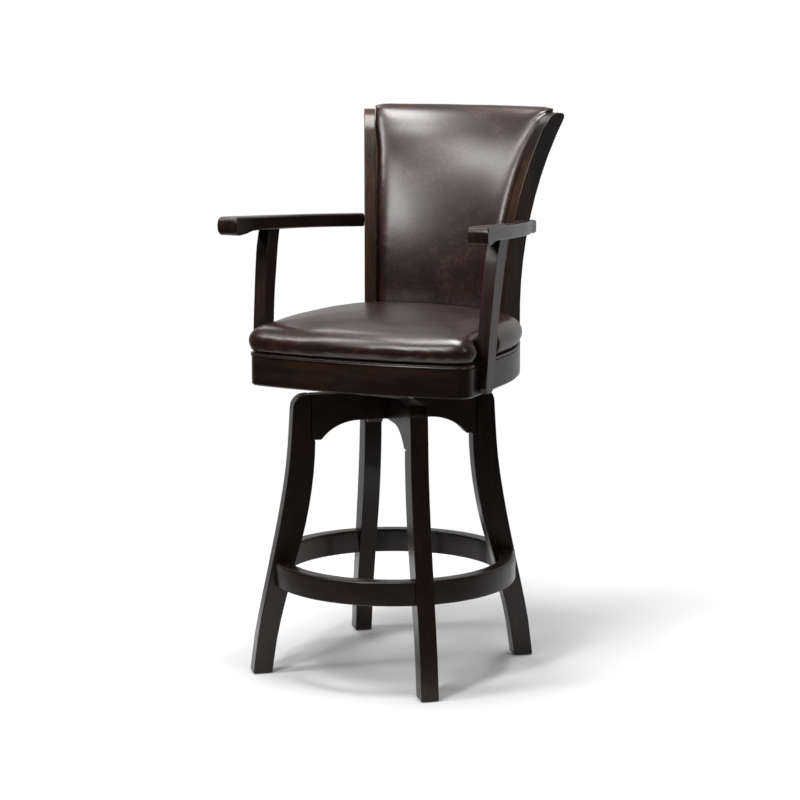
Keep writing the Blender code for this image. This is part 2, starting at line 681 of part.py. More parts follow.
def build_swivel(base, seat, rails, seat_rails):
    """Two plates with a ball ring between them, held by a hollow rivet, and four screws in each."""
    lower = swivel_plate("swivel_plate_lower", base, False)
    upper = swivel_plate("swivel_plate_upper", seat, True)
    boss_top = SWIVEL_SHEET + SWIVEL_BOSS_RISE
    race_low = SWIVEL_BOTTOM_Z + boss_top + GAP
    race_high = SWIVEL_TOP_Z - boss_top - GAP
    half = BALL_RING_WIDTH / 2
    middle = (race_low + race_high) / 2
    ring = [
        (BALL_RING_RADIUS - half, middle),
        (BALL_RING_RADIUS - half / 2, race_low),
        (BALL_RING_RADIUS + half / 2, race_low),
        (BALL_RING_RADIUS + half, middle),
        (BALL_RING_RADIUS + half / 2, race_high),
        (BALL_RING_RADIUS - half / 2, race_high),
    ]
    add_mesh("swivel_ball_ring", lathe(ring, ROUND_STEPS), STEEL, base)
    flange_low = SWIVEL_BOTTOM_Z + boss_top - SWIVEL_SHEET - GAP
    flange_high = SWIVEL_TOP_Z - boss_top + SWIVEL_SHEET + GAP
    rivet = [
        (RIVET_BORE_RADIUS, flange_low - RIVET_FLANGE_THICKNESS),
        (RIVET_FLANGE_RADIUS, flange_low - RIVET_FLANGE_THICKNESS),
        (RIVET_FLANGE_RADIUS, flange_low),
        (RIVET_OUTER_RADIUS, flange_low),
        (RIVET_OUTER_RADIUS, flange_high),
        (RIVET_FLANGE_RADIUS, flange_high),
        (RIVET_FLANGE_RADIUS, flange_high + RIVET_FLANGE_THICKNESS),
        (RIVET_BORE_RADIUS, flange_high + RIVET_FLANGE_THICKNESS),
    ]
    add_mesh("swivel_rivet", lathe(rivet, ROUND_STEPS), STEEL, base)
    for side, plate, wood, parent, turned_over in (
        ("lower", lower, rails, base, False),
        ("upper", upper, seat_rails, seat, True),
    ):
        sheet_z = SWIVEL_TOP_Z - SWIVEL_SHEET - GAP if turned_over else SWIVEL_BOTTOM_Z + SWIVEL_SHEET + GAP
        for k, (x, y) in enumerate(screw_places()):
            place = (x, y, sheet_z)
            body, room = (placed(screw(play), place, turned_over) for play in (0, GAP))
            add_mesh(f"swivel_screw_{side}_{k + 1}", body, BLACK_STEEL, parent)
            hole = add_mesh(f"screw_cut_{side}_{k + 1}", room, None, parent)
            cut(plate, hole)
            for piece in wood:
                cut(piece, hole)


def support_edge(z, shares, start):
    top_z = arm_underside(SUPPORT_FOOT_Y + SUPPORT_LEAN)
    share = (z - SUPPORT_BOTTOM_Z) / (top_z - SUPPORT_BOTTOM_Z)
    return start + SUPPORT_LEAN * blend(SUPPORT_HEIGHT_shares, shares, min(max(share, 0), 1))


def support_front(z):
    return support_edge(z, SUPPORT_FRONT_shares, SUPPORT_FOOT_Y)


def support_rear(z):
    return support_edge(z, SUPPORT_REAR_shares, SUPPORT_FOOT_Y + SUPPORT_DEPTH)


def oval(grow, z, rear_grow=None, pressed=None):
    """One ring of points round the seat's plan at height z, grown by grow and, at the rear, by rear_grow.

    A pressed ring is pushed in beside the arm supports by as much as a side grown by that much needs there.
    """
    limit = SUPPORT_INNER_X - SOFT_CLEARANCE
    front = support_front(SEAM_Z) - SOFT_CLEARANCE
    rear = support_rear(SEAM_Z + CUSHION_SIDE_HEIGHT * 2) + SOFT_CLEARANCE
    half = []
    for turn in PLAN_TURNS:
        share = max(sin(turn), 0) ** 2 if rear_grow is not None else 0
        x, y = plan_point(turn, grow + ((rear_grow or 0) - grow) * share)
        outside = max(front - y, y - rear, 0) / CUSHION_DENT_REACH
        if pressed is not None and outside < 1:
            excess = max(plan_point(turn, pressed).x - limit, 0)
            x -= excess * (1 + cos(pi * outside)) / 2
        half.append(Vector((x, y, z)))
    left = [Vector((-p.x, p.y, z)) for p in reversed(half[1:-1])]
    return half + left


def build_band(seat):
    """The bent wooden band round the seat: one ring, chamfered at its lower outer edge."""
    section = (
        (0, BAND_TOP_Z),
        (0, BAND_BOTTOM_Z + BAND_CHAMFER),
        (-BAND_CHAMFER, BAND_BOTTOM_Z),
        (-BAND_WALL, BAND_BOTTOM_Z),
        (-BAND_WALL, BAND_TOP_Z),
    )
    rings = [oval(grow, z) for grow, z in section]
    return add_mesh("seat_band", loft([list(points) for points in zip(*rings)], closed=True), WOOD, seat)


def build_seat_rails(seat):
    """Two rails across the inside of the band that carry the swivel's upper plate and the board."""
    inside = [oval(-BAND_WALL - GAP, z) for z in (BAND_BOTTOM_Z - CUT_OVERRUN, BAND_TOP_Z + CUT_OVERRUN)]
    room = add_mesh("band_inside", loft(inside), None, seat)
    rails = []
    for name, y in (("seat_rail_front", -SEAT_RAIL_OFFSET), ("seat_rail_rear", SEAT_RAIL_OFFSET)):
        low = (-BAND_HALF_WIDTH, y - SEAT_RAIL_WIDTH / 2, SWIVEL_TOP_Z + GAP)
        high = (BAND_HALF_WIDTH, y + SEAT_RAIL_WIDTH / 2, BAND_TOP_Z)
        rail = add_mesh(name, block(low, high), BEECH, seat)
        cut(rail, room, "INTERSECT")
        rails.append(rail)
    return rails


def build_cushion(seat):
    """The cushion's board, the double welt round it, and the crowned leather cushion on top."""
    board_top = CUSHION_BOARD_Z + CUSHION_BOARD_THICKNESS
    rear_inset = -CUSHION_BOARD_INSET - CUSHION_REAR_SETBACK
    board_rings = [
        oval(-CUSHION_BOARD_INSET, z, rear_inset, CUSHION_OVERHANG) for z in (CUSHION_BOARD_Z, board_top)
    ]
    add_mesh("cushion_board", loft(board_rings), PLYWOOD, seat)

    radius = CUSHION_BOARD_THICKNESS / 4
    low_z = CUSHION_BOARD_Z + radius
    high_z = board_top - radius
    section = [
        (CUSHION_OVERHANG - WELT_DEPTH, CUSHION_BOARD_Z),
        (CUSHION_OVERHANG - radius, CUSHION_BOARD_Z),
        (CUSHION_OVERHANG, low_z),
        (CUSHION_OVERHANG - radius, (low_z + high_z) / 2),
        (CUSHION_OVERHANG, high_z),
        (CUSHION_OVERHANG - radius, board_top),
        (CUSHION_OVERHANG - WELT_DEPTH, board_top),
    ]
    drawn_in = CUSHION_OVERHANG + CUSHION_REAR_SETBACK
    rings = [oval(grow, z, grow - drawn_in, CUSHION_OVERHANG) for grow, z in section]
    around = [list(section_points) for section_points in zip(*rings)]
    add_mesh("seat_welt", loft(around, closed=True), LEATHER, seat)

    side_z = SEAM_Z + CUSHION_SIDE_HEIGHT
    widest = CUSHION_OVERHANG + CUSHION_BULGE
    levels = [
        (CUSHION_OVERHANG - CUSHION_SEAM_DRAW, SEAM_Z, 0),
        (CUSHION_OVERHANG, SEAM_Z + CUSHION_SIDE_HEIGHT * CUSHION_LIP_share, 0),
    ]
    for k in range(CUSHION_SHOULDER_STEPS + 1):
        turn = pi / 2 * k / CUSHION_SHOULDER_STEPS
        inset = 1 - cos(turn)
        z = side_z + CUSHION_SHOULDER_RISE * sin(turn)
        levels.append((widest - CUSHION_SHOULDER_INSET * inset, z, CUSHION_REAR_ROUND * inset))
    rings = [oval(grow, z, -CUSHION_REAR_SETBACK - tuck, grow) for grow, z, tuck in levels]
    shoulder_z = side_z + CUSHION_SHOULDER_RISE
    centre = Vector((0, BAND_WIDEST_Y, 0))
    edge = [Vector((point.x, point.y, 0)) for point in rings[-1]]
    for share in CUSHION_CROWN_shares:
        crown = Vector((0, 0, shoulder_z + CUSHION_CROWN_RISE * (1 - share**2)))
        rings.append([centre.lerp(point, share) + crown for point in edge])
    add_mesh("seat_cushion", loft(rings), LEATHER, seat)


def stile_outline():
    """A stile's sawn side: upright at the seat, bending back above it, with a rounded top."""
    top = STILE_TOP_Z
    rise = [STILE_BOTTOM_Z + (top - STILE_BOTTOM_Z) * k / STILE_STEPS for k in range(STILE_STEPS + 1)]
    front = [(lean(z), z) for z in rise if z < top - STILE_FRONT_ROUND - STILE_EASE]
    rear = [(lean_rear(z), z) for z in reversed(rise) if z < top - STILE_REAR_ROUND - STILE_EASE]
    front_start = Vector((lean(top - STILE_FRONT_ROUND), top - STILE_FRONT_ROUND))
    rear_end = Vector((lean_rear(top - STILE_REAR_ROUND), top - STILE_REAR_ROUND))
    front_corner = Vector((lean(top), top))
    rear_corner = Vector((lean_rear(top) - GAP, top))
    front_end = front_corner.lerp(rear_corner, STILE_CROWN_share)
    rear_start = rear_corner.lerp(front_corner, STILE_REAR_ROUND_share)
    crown = []
    for start, corner, end in (
        (front_start, front_corner, front_end),
        (rear_start, rear_corner, rear_end),
    ):
        for k in range(6):
            t = k / 5
            point = start * (1 - t) ** 2 + corner * (2 * t * (1 - t)) + end * t**2
            crown.append((point.x, point.y))
    return front + crown + rear


def stile_frame(side):
    """A stile's place: the outline's x runs straight back from the seat's rear at STILE_TURN."""
    azimuth = pi / 2 - side * STILE_TURN
    place = (0, BACK_CENTRE_Y, 0)
    return azimuth, place


def build_stiles(seat):
    stiles = []
    outline = [(BACK_RADIUS + back, z) for back, z in stile_outline()]
    for name, side in (("stile_left", -1), ("stile_right", 1)):
        azimuth, place = stile_frame(side)
        stile = add_mesh(name, board(outline, STILE_THICKNESS), WOOD, seat, azimuth, place)
        ease(stile, STILE_EASE)
        stiles.append(stile)
    return stiles


def curved_panel(columns, heights, front_depth, rear_depth, side_gap):
    """A closed panel on the back's curve, between two depths that may vary with share and height."""
    rings = []
    for z in heights:
        shares = [-1 + 2 * k / columns for k in range(columns + 1)]
        fronts = [back_point(s, z, front_depth(s, z), side_gap) for s in shares]
        rears = [back_point(s, z, rear_depth(s, z), side_gap) for s in reversed(shares)]
        rings.append(fronts + rears)
    return loft(rings)


def roll(distance, reach):
    """The depth of a rounded edge, from 0 at reach inside it to 1 at the edge itself."""
    inside = min(max(distance / reach, 0), 1)
    return 1 - sqrt(1 - (1 - inside) ** 2)


def ramp(low, high, count, ends):
    """Heights from low to high that crowd towards both ends, by the given share."""
    heights = []
    for k in range(count + 1):
        t = k / count
        eased = (1 - cos(pi * t)) / 2
        heights.append(low + (high - low) * (t + (eased - t) * ends))
    return heights


def build_back(seat):
    """The rail across the stiles' feet, the curved frame above it, its front pad and its rear cover."""
    low = STILE_BOTTOM_Z
    rail_z = [low, low + BACK_RAIL_HEIGHT]
    rail = curved_panel(
        SHELL_COLUMNS,
        rail_z,
        lambda s, z: BACK_RAIL_SET,
        lambda s, z: BACK_RAIL_SET + BACK_RAIL_DEPTH,
        GAP,
    )
    ease(add_mesh("back_rail", rail, WOOD, seat), RAIL_EASE, 1)

    frame_top = PAD_TOP_Z - PAD_HEAD_HEIGHT - GAP
    frame_low = PAD_REAR + GAP
    frame_rear = frame_low + BACK_FRAME_THICKNESS
    frame = curved_panel(
        SHELL_COLUMNS,
        ramp(PAD_BOTTOM_Z, frame_top, SHELL_ROWS, 0),
        lambda s, z: frame_low,
        lambda s, z: frame_rear,
        GAP,
    )
    add_mesh("back_frame", frame, PLYWOOD, seat)

    half_width = BACK_RADIUS * STILE_TURN

    def pad_front(s, z):
        side = roll((1 - abs(s)) * half_width, PAD_EDGE_ROLL) * PAD_EDGE_ROLL
        head = roll(PAD_TOP_Z - z, PAD_TOP_ROLL) * PAD_TOP_ROLL
        height_share = (z - PAD_BOTTOM_Z) / (PAD_TOP_Z - PAD_BOTTOM_Z)
        crown = PAD_CROWN * (1 - s**2) * (1 - (2 * height_share - 1) ** 4)
        return PAD_EDGE_SET - crown + max(side, head)

    shelf = PAD_TOP_Z - PAD_HEAD_HEIGHT
    levels = [(z, PAD_REAR) for z in ramp(PAD_BOTTOM_Z, shelf, PAD_ROWS - PAD_HEAD_ROWS, 0)]
    for z in ramp(shelf, PAD_TOP_Z, PAD_HEAD_ROWS, PAD_HEAD_CROWD_share):
        tail = roll(PAD_TOP_Z - z, PAD_TOP_ROLL / 2) * PAD_TOP_ROLL / 2
        levels.append((z, PAD_HEAD_REAR - tail))
    shares = [sin(pi / 2 * (-1 + 2 * k / PAD_COLUMNS)) for k in range(PAD_COLUMNS + 1)]
    rear_shares = [1 - 2 * k / SHELL_COLUMNS for k in range(SHELL_COLUMNS + 1)]
    rings = []
    for z, rear in levels:
        fronts = [back_point(s, z, pad_front(s, z), SOFT_CLEARANCE) for s in shares]
        rears = [back_point(s, z, rear, SOFT_CLEARANCE) for s in rear_shares]
        rings.append(fronts + rears)
    add_mesh("back_pad", loft(rings), LEATHER, seat)

    cover_low = frame_rear + GAP
    cover_top = shelf - GAP

    def cover_rear(s, z):
        side = roll((1 - abs(s)) * half_width, COVER_EDGE_ROLL)
        ends = max(roll(cover_top - z, COVER_EDGE_ROLL), roll(z - PAD_BOTTOM_Z, COVER_EDGE_ROLL))
        plump = COVER_CROWN * (1 - s**2)
        return cover_low + COVER_THICKNESS * (1 - COVER_EDGE_DROP_share * max(side, ends)) + plump

    cover = curved_panel(
        SHELL_COLUMNS,
        ramp(PAD_BOTTOM_Z, cover_top, SHELL_ROWS, COVER_CROWD_share),
        lambda s, z: cover_low,
        cover_rear,
        GAP,
    )
    add_mesh("back_cover", cover, LEATHER, seat)


def arm_top(y):
    return ARM_NOSE_Z - (y - ARM_NOSE_Y) * tan(ARM_SLOPE)


def arm_drop(y):
    """How far the underside lies below the arm's top: deep at the scrolled nose, then even."""
    share = min(max((y - ARM_NOSE_Y - ARM_NOSE_ROUND) / (ARM_SCROLL_LENGTH - ARM_NOSE_ROUND), 0), 1)
    fade = (1 + cos(pi * share)) / 2
    return ARM_THICKNESS + (ARM_NOSE_HEIGHT - ARM_THICKNESS) * fade


def arm_underside(y):
    return arm_top(y) - arm_drop(y)


def arm_rear_corner():
    """Where the arm meets the front edge of the stile's outer side."""
    z = ARM_NOSE_Z - ARM_THICKNESS
    radius = BACK_RADIUS + lean(z)
    outward = STILE_THICKNESS / 2 + GAP
    x = radius * sin(STILE_TURN) + outward * cos(STILE_TURN)
    y = BACK_CENTRE_Y + radius * cos(STILE_TURN) - outward * sin(STILE_TURN)
    return x, y


def arm_station(share):
    """The arm's (inner x, outer x, y) at a share of its free length: nose at 0, stile's front at 1."""
    corner_x, corner_y = arm_rear_corner()
    inner = ARM_NOSE_INNER_X + (corner_x - ARM_NOSE_INNER_X) * blend(
        ARM_STATION_shares, ARM_INNER_shares, share
    )
    outer_end = corner_x + ARM_REAR_WIDTH
    outer = ARM_NOSE_OUTER_X + (outer_end - ARM_NOSE_OUTER_X) * blend(
        ARM_STATION_shares, ARM_OUTER_shares, share
    )
    return inner, outer, ARM_NOSE_Y + (corner_y - ARM_NOSE_Y) * share


def arm_ring(side, inner, outer, y, low, high):
    e = min(ARM_EASE, (high - low) / 4)
    ring = [
        (inner, low + e),
        (inner + e, low),
        (outer - e, low),
        (outer, low + e),
        (outer, high - e),
        (outer - e, high),
        (inner + e, high),
        (inner, high - e),
    ]
    return [(side * x, y, z) for x, z in ring]


def build_arms(seat, stiles):
    """Two arms with a scrolled nose, each lapped on its stile's outer side with a round tenon into it."""
    arms = []
    corner_x, corner_y = arm_rear_corner()
    for stile, (name, side) in zip(stiles, (("arm_left", -1), ("arm_right", 1))):
        rings = []
        nose_share = ARM_NOSE_ROUND / (corner_y - ARM_NOSE_Y)
        for k in range(ARM_NOSE_STEPS):
            turn = pi / 2 * k / ARM_NOSE_STEPS
            forward = ARM_NOSE_ROUND * (1 - sin(turn))
            inner, outer, y = arm_station(forward / (corner_y - ARM_NOSE_Y))
            low, high = arm_underside(y), arm_top(y)
            middle = (low + high) / 2
            half = (high - low) / 2 * sqrt(max(1 - sin(turn) ** 4, 0))
            rings.append(arm_ring(side, inner, outer, y, middle - half, middle + half))
        rings.reverse()
        for k in range(1, ARM_STEPS + 1):
            share = nose_share + (1 - nose_share) * k / ARM_STEPS
            inner, outer, y = arm_station(min(share, 1))
            rings.append(arm_ring(side, inner, outer, y, arm_underside(y), arm_top(y)))
        outer_end = corner_x + ARM_REAR_WIDTH
        for share, tuck_share in zip(ARM_LAP_shares, ARM_TUCK_shares):
            y = corner_y + ARM_LAP * share
            inner = corner_x + ARM_LAP * share * tan(STILE_TURN)
            outer = outer_end - ARM_EASE * tuck_share * share
            rings.append(arm_ring(side, inner, outer, y, arm_underside(y), arm_top(y)))
        arm = add_mesh(name, loft(rings), WOOD, seat)
        azimuth, _ = stile_frame(side)
        along = Vector((cos(azimuth), sin(azimuth)))
        inward = Vector((-side * cos(STILE_TURN), sin(STILE_TURN)))
        root = Vector((side * corner_x, corner_y)) + along * (ARM_LAP * ARM_PEG_share)
        root_z = arm_top(corner_y) - ARM_THICKNESS / 2
        for play in (0, GAP):
            reach = ROUND_TENON_LENGTH + play
            radius = ROUND_TENON_RADIUS + play
            peg = rod([(radius, -ROUND_TENON_LENGTH / 2), (radius, reach)])
            turn = Matrix.Rotation(atan2(inward.y, inward.x), 3, "Z") @ Matrix.Rotation(pi / 2, 3, "Y")
            bmesh.ops.rotate(peg, verts=peg.verts, matrix=turn)
            bmesh.ops.translate(peg, verts=peg.verts, vec=(root.x, root.y, root_z))
            helper = add_mesh(f"{name}_peg_{'cut' if play else 'join'}", peg, None, seat)
            if play:
                cut(stile, helper)
            else:
                cut(arm, helper, "UNION")
        arms.append(arm)
    return arms


def support_splay(z):
    """How far a support has leant outwards at height z, above the band."""
    return SUPPORT_SPLAY * max(z - BAND_TOP_Z, 0) / (ARM_NOSE_Z - BAND_TOP_Z)


def support_ring(side, z):
    """A support's section at height z; beside the band its inner face is scribed to the band's curve."""
    front, rear = support_front(z), support_rear(z)
    from_end = z - SUPPORT_BOTTOM_Z
    if from_end < SUPPORT_END_ROUND:
        tuck = SUPPORT_END_ROUND - sqrt(SUPPORT_END_ROUND**2 - (SUPPORT_END_ROUND - from_end) ** 2)
        front, rear = front + tuck, rear - tuck
    outer = SUPPORT_INNER_X + SUPPORT_THICKNESS
    scribed = z <= BAND_TOP_Z + GAP
    ring = [(outer, front), (outer, rear)]
    for k in range(SUPPORT_FACE_STEPS + 1):
        y = rear + (front - rear) * k / SUPPORT_FACE_STEPS
        ring.append((plan_half_width(y, GAP) if scribed else SUPPORT_INNER_X, y))
    return [(side * (x + support_splay(z)), y, z) for x, y in ring]


def build_supports(seat, arms):
    """Two curved boards from the seat's band up to the arms, each with a round tenon into its arm."""
    supports = []
    for arm, (name, side) in zip(arms, (("arm_support_left", -1), ("arm_support_right", 1))):
        top_y = SUPPORT_FOOT_Y + SUPPORT_LEAN + SUPPORT_DEPTH
        top_z = arm_underside(top_y) - GAP
        heights = [SUPPORT_BOTTOM_Z + SUPPORT_END_ROUND * share for share in SUPPORT_END_shares]
        heights += [BAND_TOP_Z + GAP, BAND_TOP_Z + GAP * 2]
        rise = top_z - BAND_TOP_Z
        heights += [BAND_TOP_Z + rise * k / SUPPORT_STEPS for k in range(1, SUPPORT_STEPS + 1)]
        rings = [support_ring(side, z) for z in heights]
        slope = tan(ARM_SLOPE)
        rings[-1] = [(x, y, top_z + (top_y - y) * slope) for x, y, _ in rings[-1]]
        support = add_mesh(name, loft(rings), WOOD, seat)
        ease(support, SUPPORT_EASE, 1)
        x = side * (SUPPORT_INNER_X + SUPPORT_THICKNESS / 2 + support_splay(top_z))
        y = (support_front(top_z) + support_rear(top_z)) / 2
        z = arm_underside(y)
        for play in (0, GAP):
            radius = ROUND_TENON_RADIUS + play
            peg = rod([(radius, -ROUND_TENON_LENGTH), (radius, ROUND_TENON_LENGTH + play)])
            peg = placed(peg, (x, y, z))
            helper = add_mesh(f"{name}_peg_{'cut' if play else 'join'}", peg, None, seat)
            if play:
                cut(arm, helper)
            else:
                cut(support, helper, "UNION")
        supports.append(support)
    return supports


def bolt(start, direction, wall, bite, play):
    """A bolt whose head bears on a wall's inner face at start and whose shank runs outwards through it."""
    shank = BOLT_SHANK_RADIUS + play
    reach = wall + bite + play
    if play:
        sections = [(shank, -CUT_OVERRUN), (shank, reach)]
    else:
        head = [(BOLT_HEAD_RADIUS, -BOLT_HEAD_HEIGHT - GAP), (BOLT_HEAD_RADIUS, -GAP)]
        sections = head + [(shank, -GAP), (shank, reach)]
    bm = rod(sections)
    turn = Matrix.Rotation(atan2(direction.y, direction.x), 3, "Z") @ Matrix.Rotation(pi / 2, 3, "Y")
    bmesh.ops.rotate(bm, verts=bm.verts, matrix=turn)
    bmesh.ops.translate(bm, verts=bm.verts, vec=start)
    return bm


def build_bolts(seat, band, stiles, supports):
    """Bolts from inside the band, one above the other into each stile and each arm support."""
    wall = BAND_WALL + GAP * 2
    hands = ((-1, "left"), (1, "right"))
    for (side, hand), stile, support in zip(hands, stiles, supports):
        for level, rise in (("low", BOLT_LOW_RISE), ("high", BOLT_HIGH_RISE)):
            z = BAND_BOTTOM_Z + rise
            middle = (support_front(z) + support_rear(z)) / 2
            for name, turn, piece, bite in (
                (f"stile_bolt_{hand}_{level}", pi / 2 - STILE_TURN, stile, STILE_BOLT_BITE),
                (f"support_bolt_{hand}_{level}", plan_turn(middle), support, BOLT_BITE),
            ):
                foot = plan_point(turn)
                outward = Vector((side * cos(turn), sin(turn), 0))
                start = Vector((side * foot.x, foot.y, z)) - outward * wall
                add_mesh(name, bolt(start, outward, wall, bite, 0), BLACK_STEEL, seat)
                hole = add_mesh(f"{name}_cut", bolt(start, outward, wall, bite, GAP), None, seat)
                for wood in (band, piece):
                    cut(wood, hole)


def centre_on_floor(stool):
    """Moves the stool so that the origin is under the middle of its box, on the floor."""
    bpy.context.view_layer.update()
    graph = bpy.context.evaluated_depsgraph_get()
    points = []
    for obj in bpy.data.objects:
        if obj.type == "MESH" and not obj.hide_render:
            evaluated = obj.evaluated_get(graph)
            points += [evaluated.matrix_world @ vertex.co for vertex in evaluated.data.vertices]
    for axis in (0, 1):
        values = [point[axis] for point in points]
        stool.location[axis] = -(min(values) + max(values)) / 2


def main():
    clear_scene()
    stool = empty("stool")
    base = empty("base_frame", stool)
    base.rotation_euler.z = BASE_TURN
    seat = empty("seat_frame", stool)

    cutters = build_legs(base)
    rails = build_rails(base, cutters)
    build_footrest(base, cutters)

    band = build_band(seat)
    seat_rails = build_seat_rails(seat)
    build_swivel(base, seat, rails, seat_rails)
    build_cushion(seat)
    stiles = build_stiles(seat)
    build_back(seat)
    arms = build_arms(seat, stiles)
    supports = build_supports(seat, arms)
    build_bolts(seat, band, stiles, supports)
    centre_on_floor(stool)


main()
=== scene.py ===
import json
import math

import bpy
import numpy as np
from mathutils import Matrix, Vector


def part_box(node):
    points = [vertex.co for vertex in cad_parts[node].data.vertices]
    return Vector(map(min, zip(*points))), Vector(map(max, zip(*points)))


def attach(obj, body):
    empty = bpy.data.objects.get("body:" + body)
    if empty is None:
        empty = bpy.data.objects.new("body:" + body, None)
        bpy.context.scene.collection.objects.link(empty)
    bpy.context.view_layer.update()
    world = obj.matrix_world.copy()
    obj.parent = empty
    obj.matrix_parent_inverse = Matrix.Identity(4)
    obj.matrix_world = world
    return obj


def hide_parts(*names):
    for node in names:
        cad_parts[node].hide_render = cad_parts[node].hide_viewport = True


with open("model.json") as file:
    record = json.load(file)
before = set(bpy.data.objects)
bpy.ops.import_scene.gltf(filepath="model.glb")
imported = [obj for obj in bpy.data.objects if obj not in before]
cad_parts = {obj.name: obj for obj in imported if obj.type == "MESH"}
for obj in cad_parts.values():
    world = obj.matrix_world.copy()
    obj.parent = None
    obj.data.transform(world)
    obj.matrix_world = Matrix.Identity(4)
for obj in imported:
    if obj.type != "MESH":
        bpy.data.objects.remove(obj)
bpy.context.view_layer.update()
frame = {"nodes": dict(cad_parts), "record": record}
cadNodes = dict(frame["nodes"])
swivelAt = Vector(frame["record"]["behaviour"]["joints"][0]["pos_m"])
print("frame loaded:", len(cadNodes), "CAD nodes")


def deselectAll():
    if bpy.context.mode != "OBJECT":
        bpy.ops.object.mode_set(mode="OBJECT")
    bpy.ops.object.select_all(action="DESELECT")


def makeActive(piece):
    deselectAll()
    piece.select_set(True)
    bpy.context.view_layer.objects.active = piece


def applyModifiers(piece):
    makeActive(piece)
    for name in [modifier.name for modifier in piece.modifiers]:
        bpy.ops.object.modifier_apply(modifier=name)


def makeFiner(piece, levels):
    finer = piece.modifiers.new("finer", "SUBSURF")
    finer.levels = levels
    finer.render_levels = levels
    applyModifiers(piece)
    makeActive(piece)
    bpy.ops.object.shade_smooth()


copying = {"merge": 0.00005, "flatWithin": math.radians(0.5)}


# a merged copy of a CAD node, to be worked on as its own piece
def copyOfNode(nodeName, pieceName):
    source = cadNodes[nodeName]
    piece = source.copy()
    piece.data = source.data.copy()
    piece.name = pieceName
    piece.data.name = pieceName
    bpy.context.scene.collection.objects.link(piece)
    makeActive(piece)
    bpy.ops.object.mode_set(mode="EDIT")
    bpy.ops.mesh.select_all(action="SELECT")
    bpy.ops.mesh.remove_doubles(threshold=copying["merge"])
    bpy.ops.mesh.dissolve_limited(angle_limit=copying["flatWithin"])
    bpy.ops.mesh.normals_make_consistent(inside=False)
    bpy.ops.object.mode_set(mode="OBJECT")
    return piece


def pointsOf(piece):
    points = np.empty(len(piece.data.vertices) * 3, dtype=np.float32)
    piece.data.vertices.foreach_get("co", points)
    return points.reshape(-1, 3).astype(float)


def normalsOf(piece):
    normals = np.empty(len(piece.data.vertices) * 3, dtype=np.float32)
    piece.data.vertices.foreach_get("normal", normals)
    return normals.reshape(-1, 3).astype(float)


def setPoints(piece, points):
    piece.data.vertices.foreach_set("co", np.ascontiguousarray(points, dtype=np.float32).ravel())
    piece.data.update()


def smoothStep(low, high, value):
    share = np.clip((value - low) / (high - low), 0, 1)
    return share * share * (3 - 2 * share)


# the camera stands where the photograph's did, measured from the swivel's axis
cameraView = {
    "turn": math.radians(22.78),
    "aim": math.radians(22.61),
    "tilt": math.radians(90 - 9.73),
    "distance": 5.144,
    "height": 1.460,
    "lens": 110.03,
    "sensor": 36,
}

deselectAll()
bpy.ops.object.camera_add(
    location=(
        swivelAt.x + cameraView["distance"] * math.sin(cameraView["turn"]),
        swivelAt.y - cameraView["distance"] * math.cos(cameraView["turn"]),
        cameraView["height"],
    ),
    rotation=(cameraView["tilt"], 0, cameraView["aim"]),
)
camera = bpy.context.object
camera.name = "photoCamera"
camera.data.lens = cameraView["lens"]
camera.data.sensor_width = cameraView["sensor"]
bpy.context.scene.camera = camera
bpy.context.scene.view_settings.view_transform = "Standard"
print("camera placed")


def newMaterial(name):
    material = bpy.data.materials.new(name)
    material.use_nodes = True
    tree = material.node_tree
    tree.nodes.clear()
    output = tree.nodes.new("ShaderNodeOutputMaterial")
    shader = tree.nodes.new("ShaderNodeBsdfPrincipled")
    tree.links.new(shader.outputs["BSDF"], output.inputs["Surface"])
    return material, tree, shader


def placedCoords(tree, stretch=(1, 1, 1), turn=0.0):
    coords = tree.nodes.new("ShaderNodeTexCoord")
    turned = tree.nodes.new("ShaderNodeMapping")
    turned.inputs["Rotation"].default_value = (0, 0, turn)
    tree.links.new(coords.outputs["Object"], turned.inputs["Vector"])
    mapping = tree.nodes.new("ShaderNodeMapping")
    mapping.inputs["Scale"].default_value = stretch
    tree.links.new(turned.outputs["Vector"], mapping.inputs["Vector"])
    return mapping.outputs["Vector"]


def noise(tree, vector, scale, detail=4.0, roughness=0.55, distortion=0.0):
    node = tree.nodes.new("ShaderNodeTexNoise")
    node.inputs["Scale"].default_value = scale
    node.inputs["Detail"].default_value = detail
    node.inputs["Roughness"].default_value = roughness
    node.inputs["Distortion"].default_value = distortion
    tree.links.new(vector, node.inputs["Vector"])
    return node.outputs["Fac"]


# stops are (place, colour) pairs; a plain number stands for a grey
def ramp(tree, value, stops):
    node = tree.nodes.new("ShaderNodeValToRGB")
    elements = node.color_ramp.elements
    while len(elements) < len(stops):
        elements.new(0.5)
    for element, (place, color) in zip(elements, stops):
        element.position = place
        element.color = (*color, 1) if isinstance(color, tuple) else (color, color, color, 1)
    tree.links.new(value, node.inputs["Fac"])
    return node.outputs["Color"]


def darkened(tree, color, shade):
    node = tree.nodes.new("ShaderNodeMix")
    node.data_type = "RGBA"
    node.blend_type = "MULTIPLY"
    node.inputs[0].default_value = 1.0
    tree.links.new(color, node.inputs[6])
    tree.links.new(shade, node.inputs[7])
    return node.outputs[2]


def weighted(tree, value, share):
    node = tree.nodes.new("ShaderNodeMath")
    node.operation = "MULTIPLY"
    tree.links.new(value, node.inputs[0])
    node.inputs[1].default_value = share
    return node.outputs["Value"]


def blended(tree, first, firstShare, second):
    node = tree.nodes.new("ShaderNodeMath")
    node.operation = "ADD"
    tree.links.new(weighted(tree, first, firstShare), node.inputs[0])
    tree.links.new(weighted(tree, second, 1 - firstShare), node.inputs[1])
    return node.outputs["Value"]


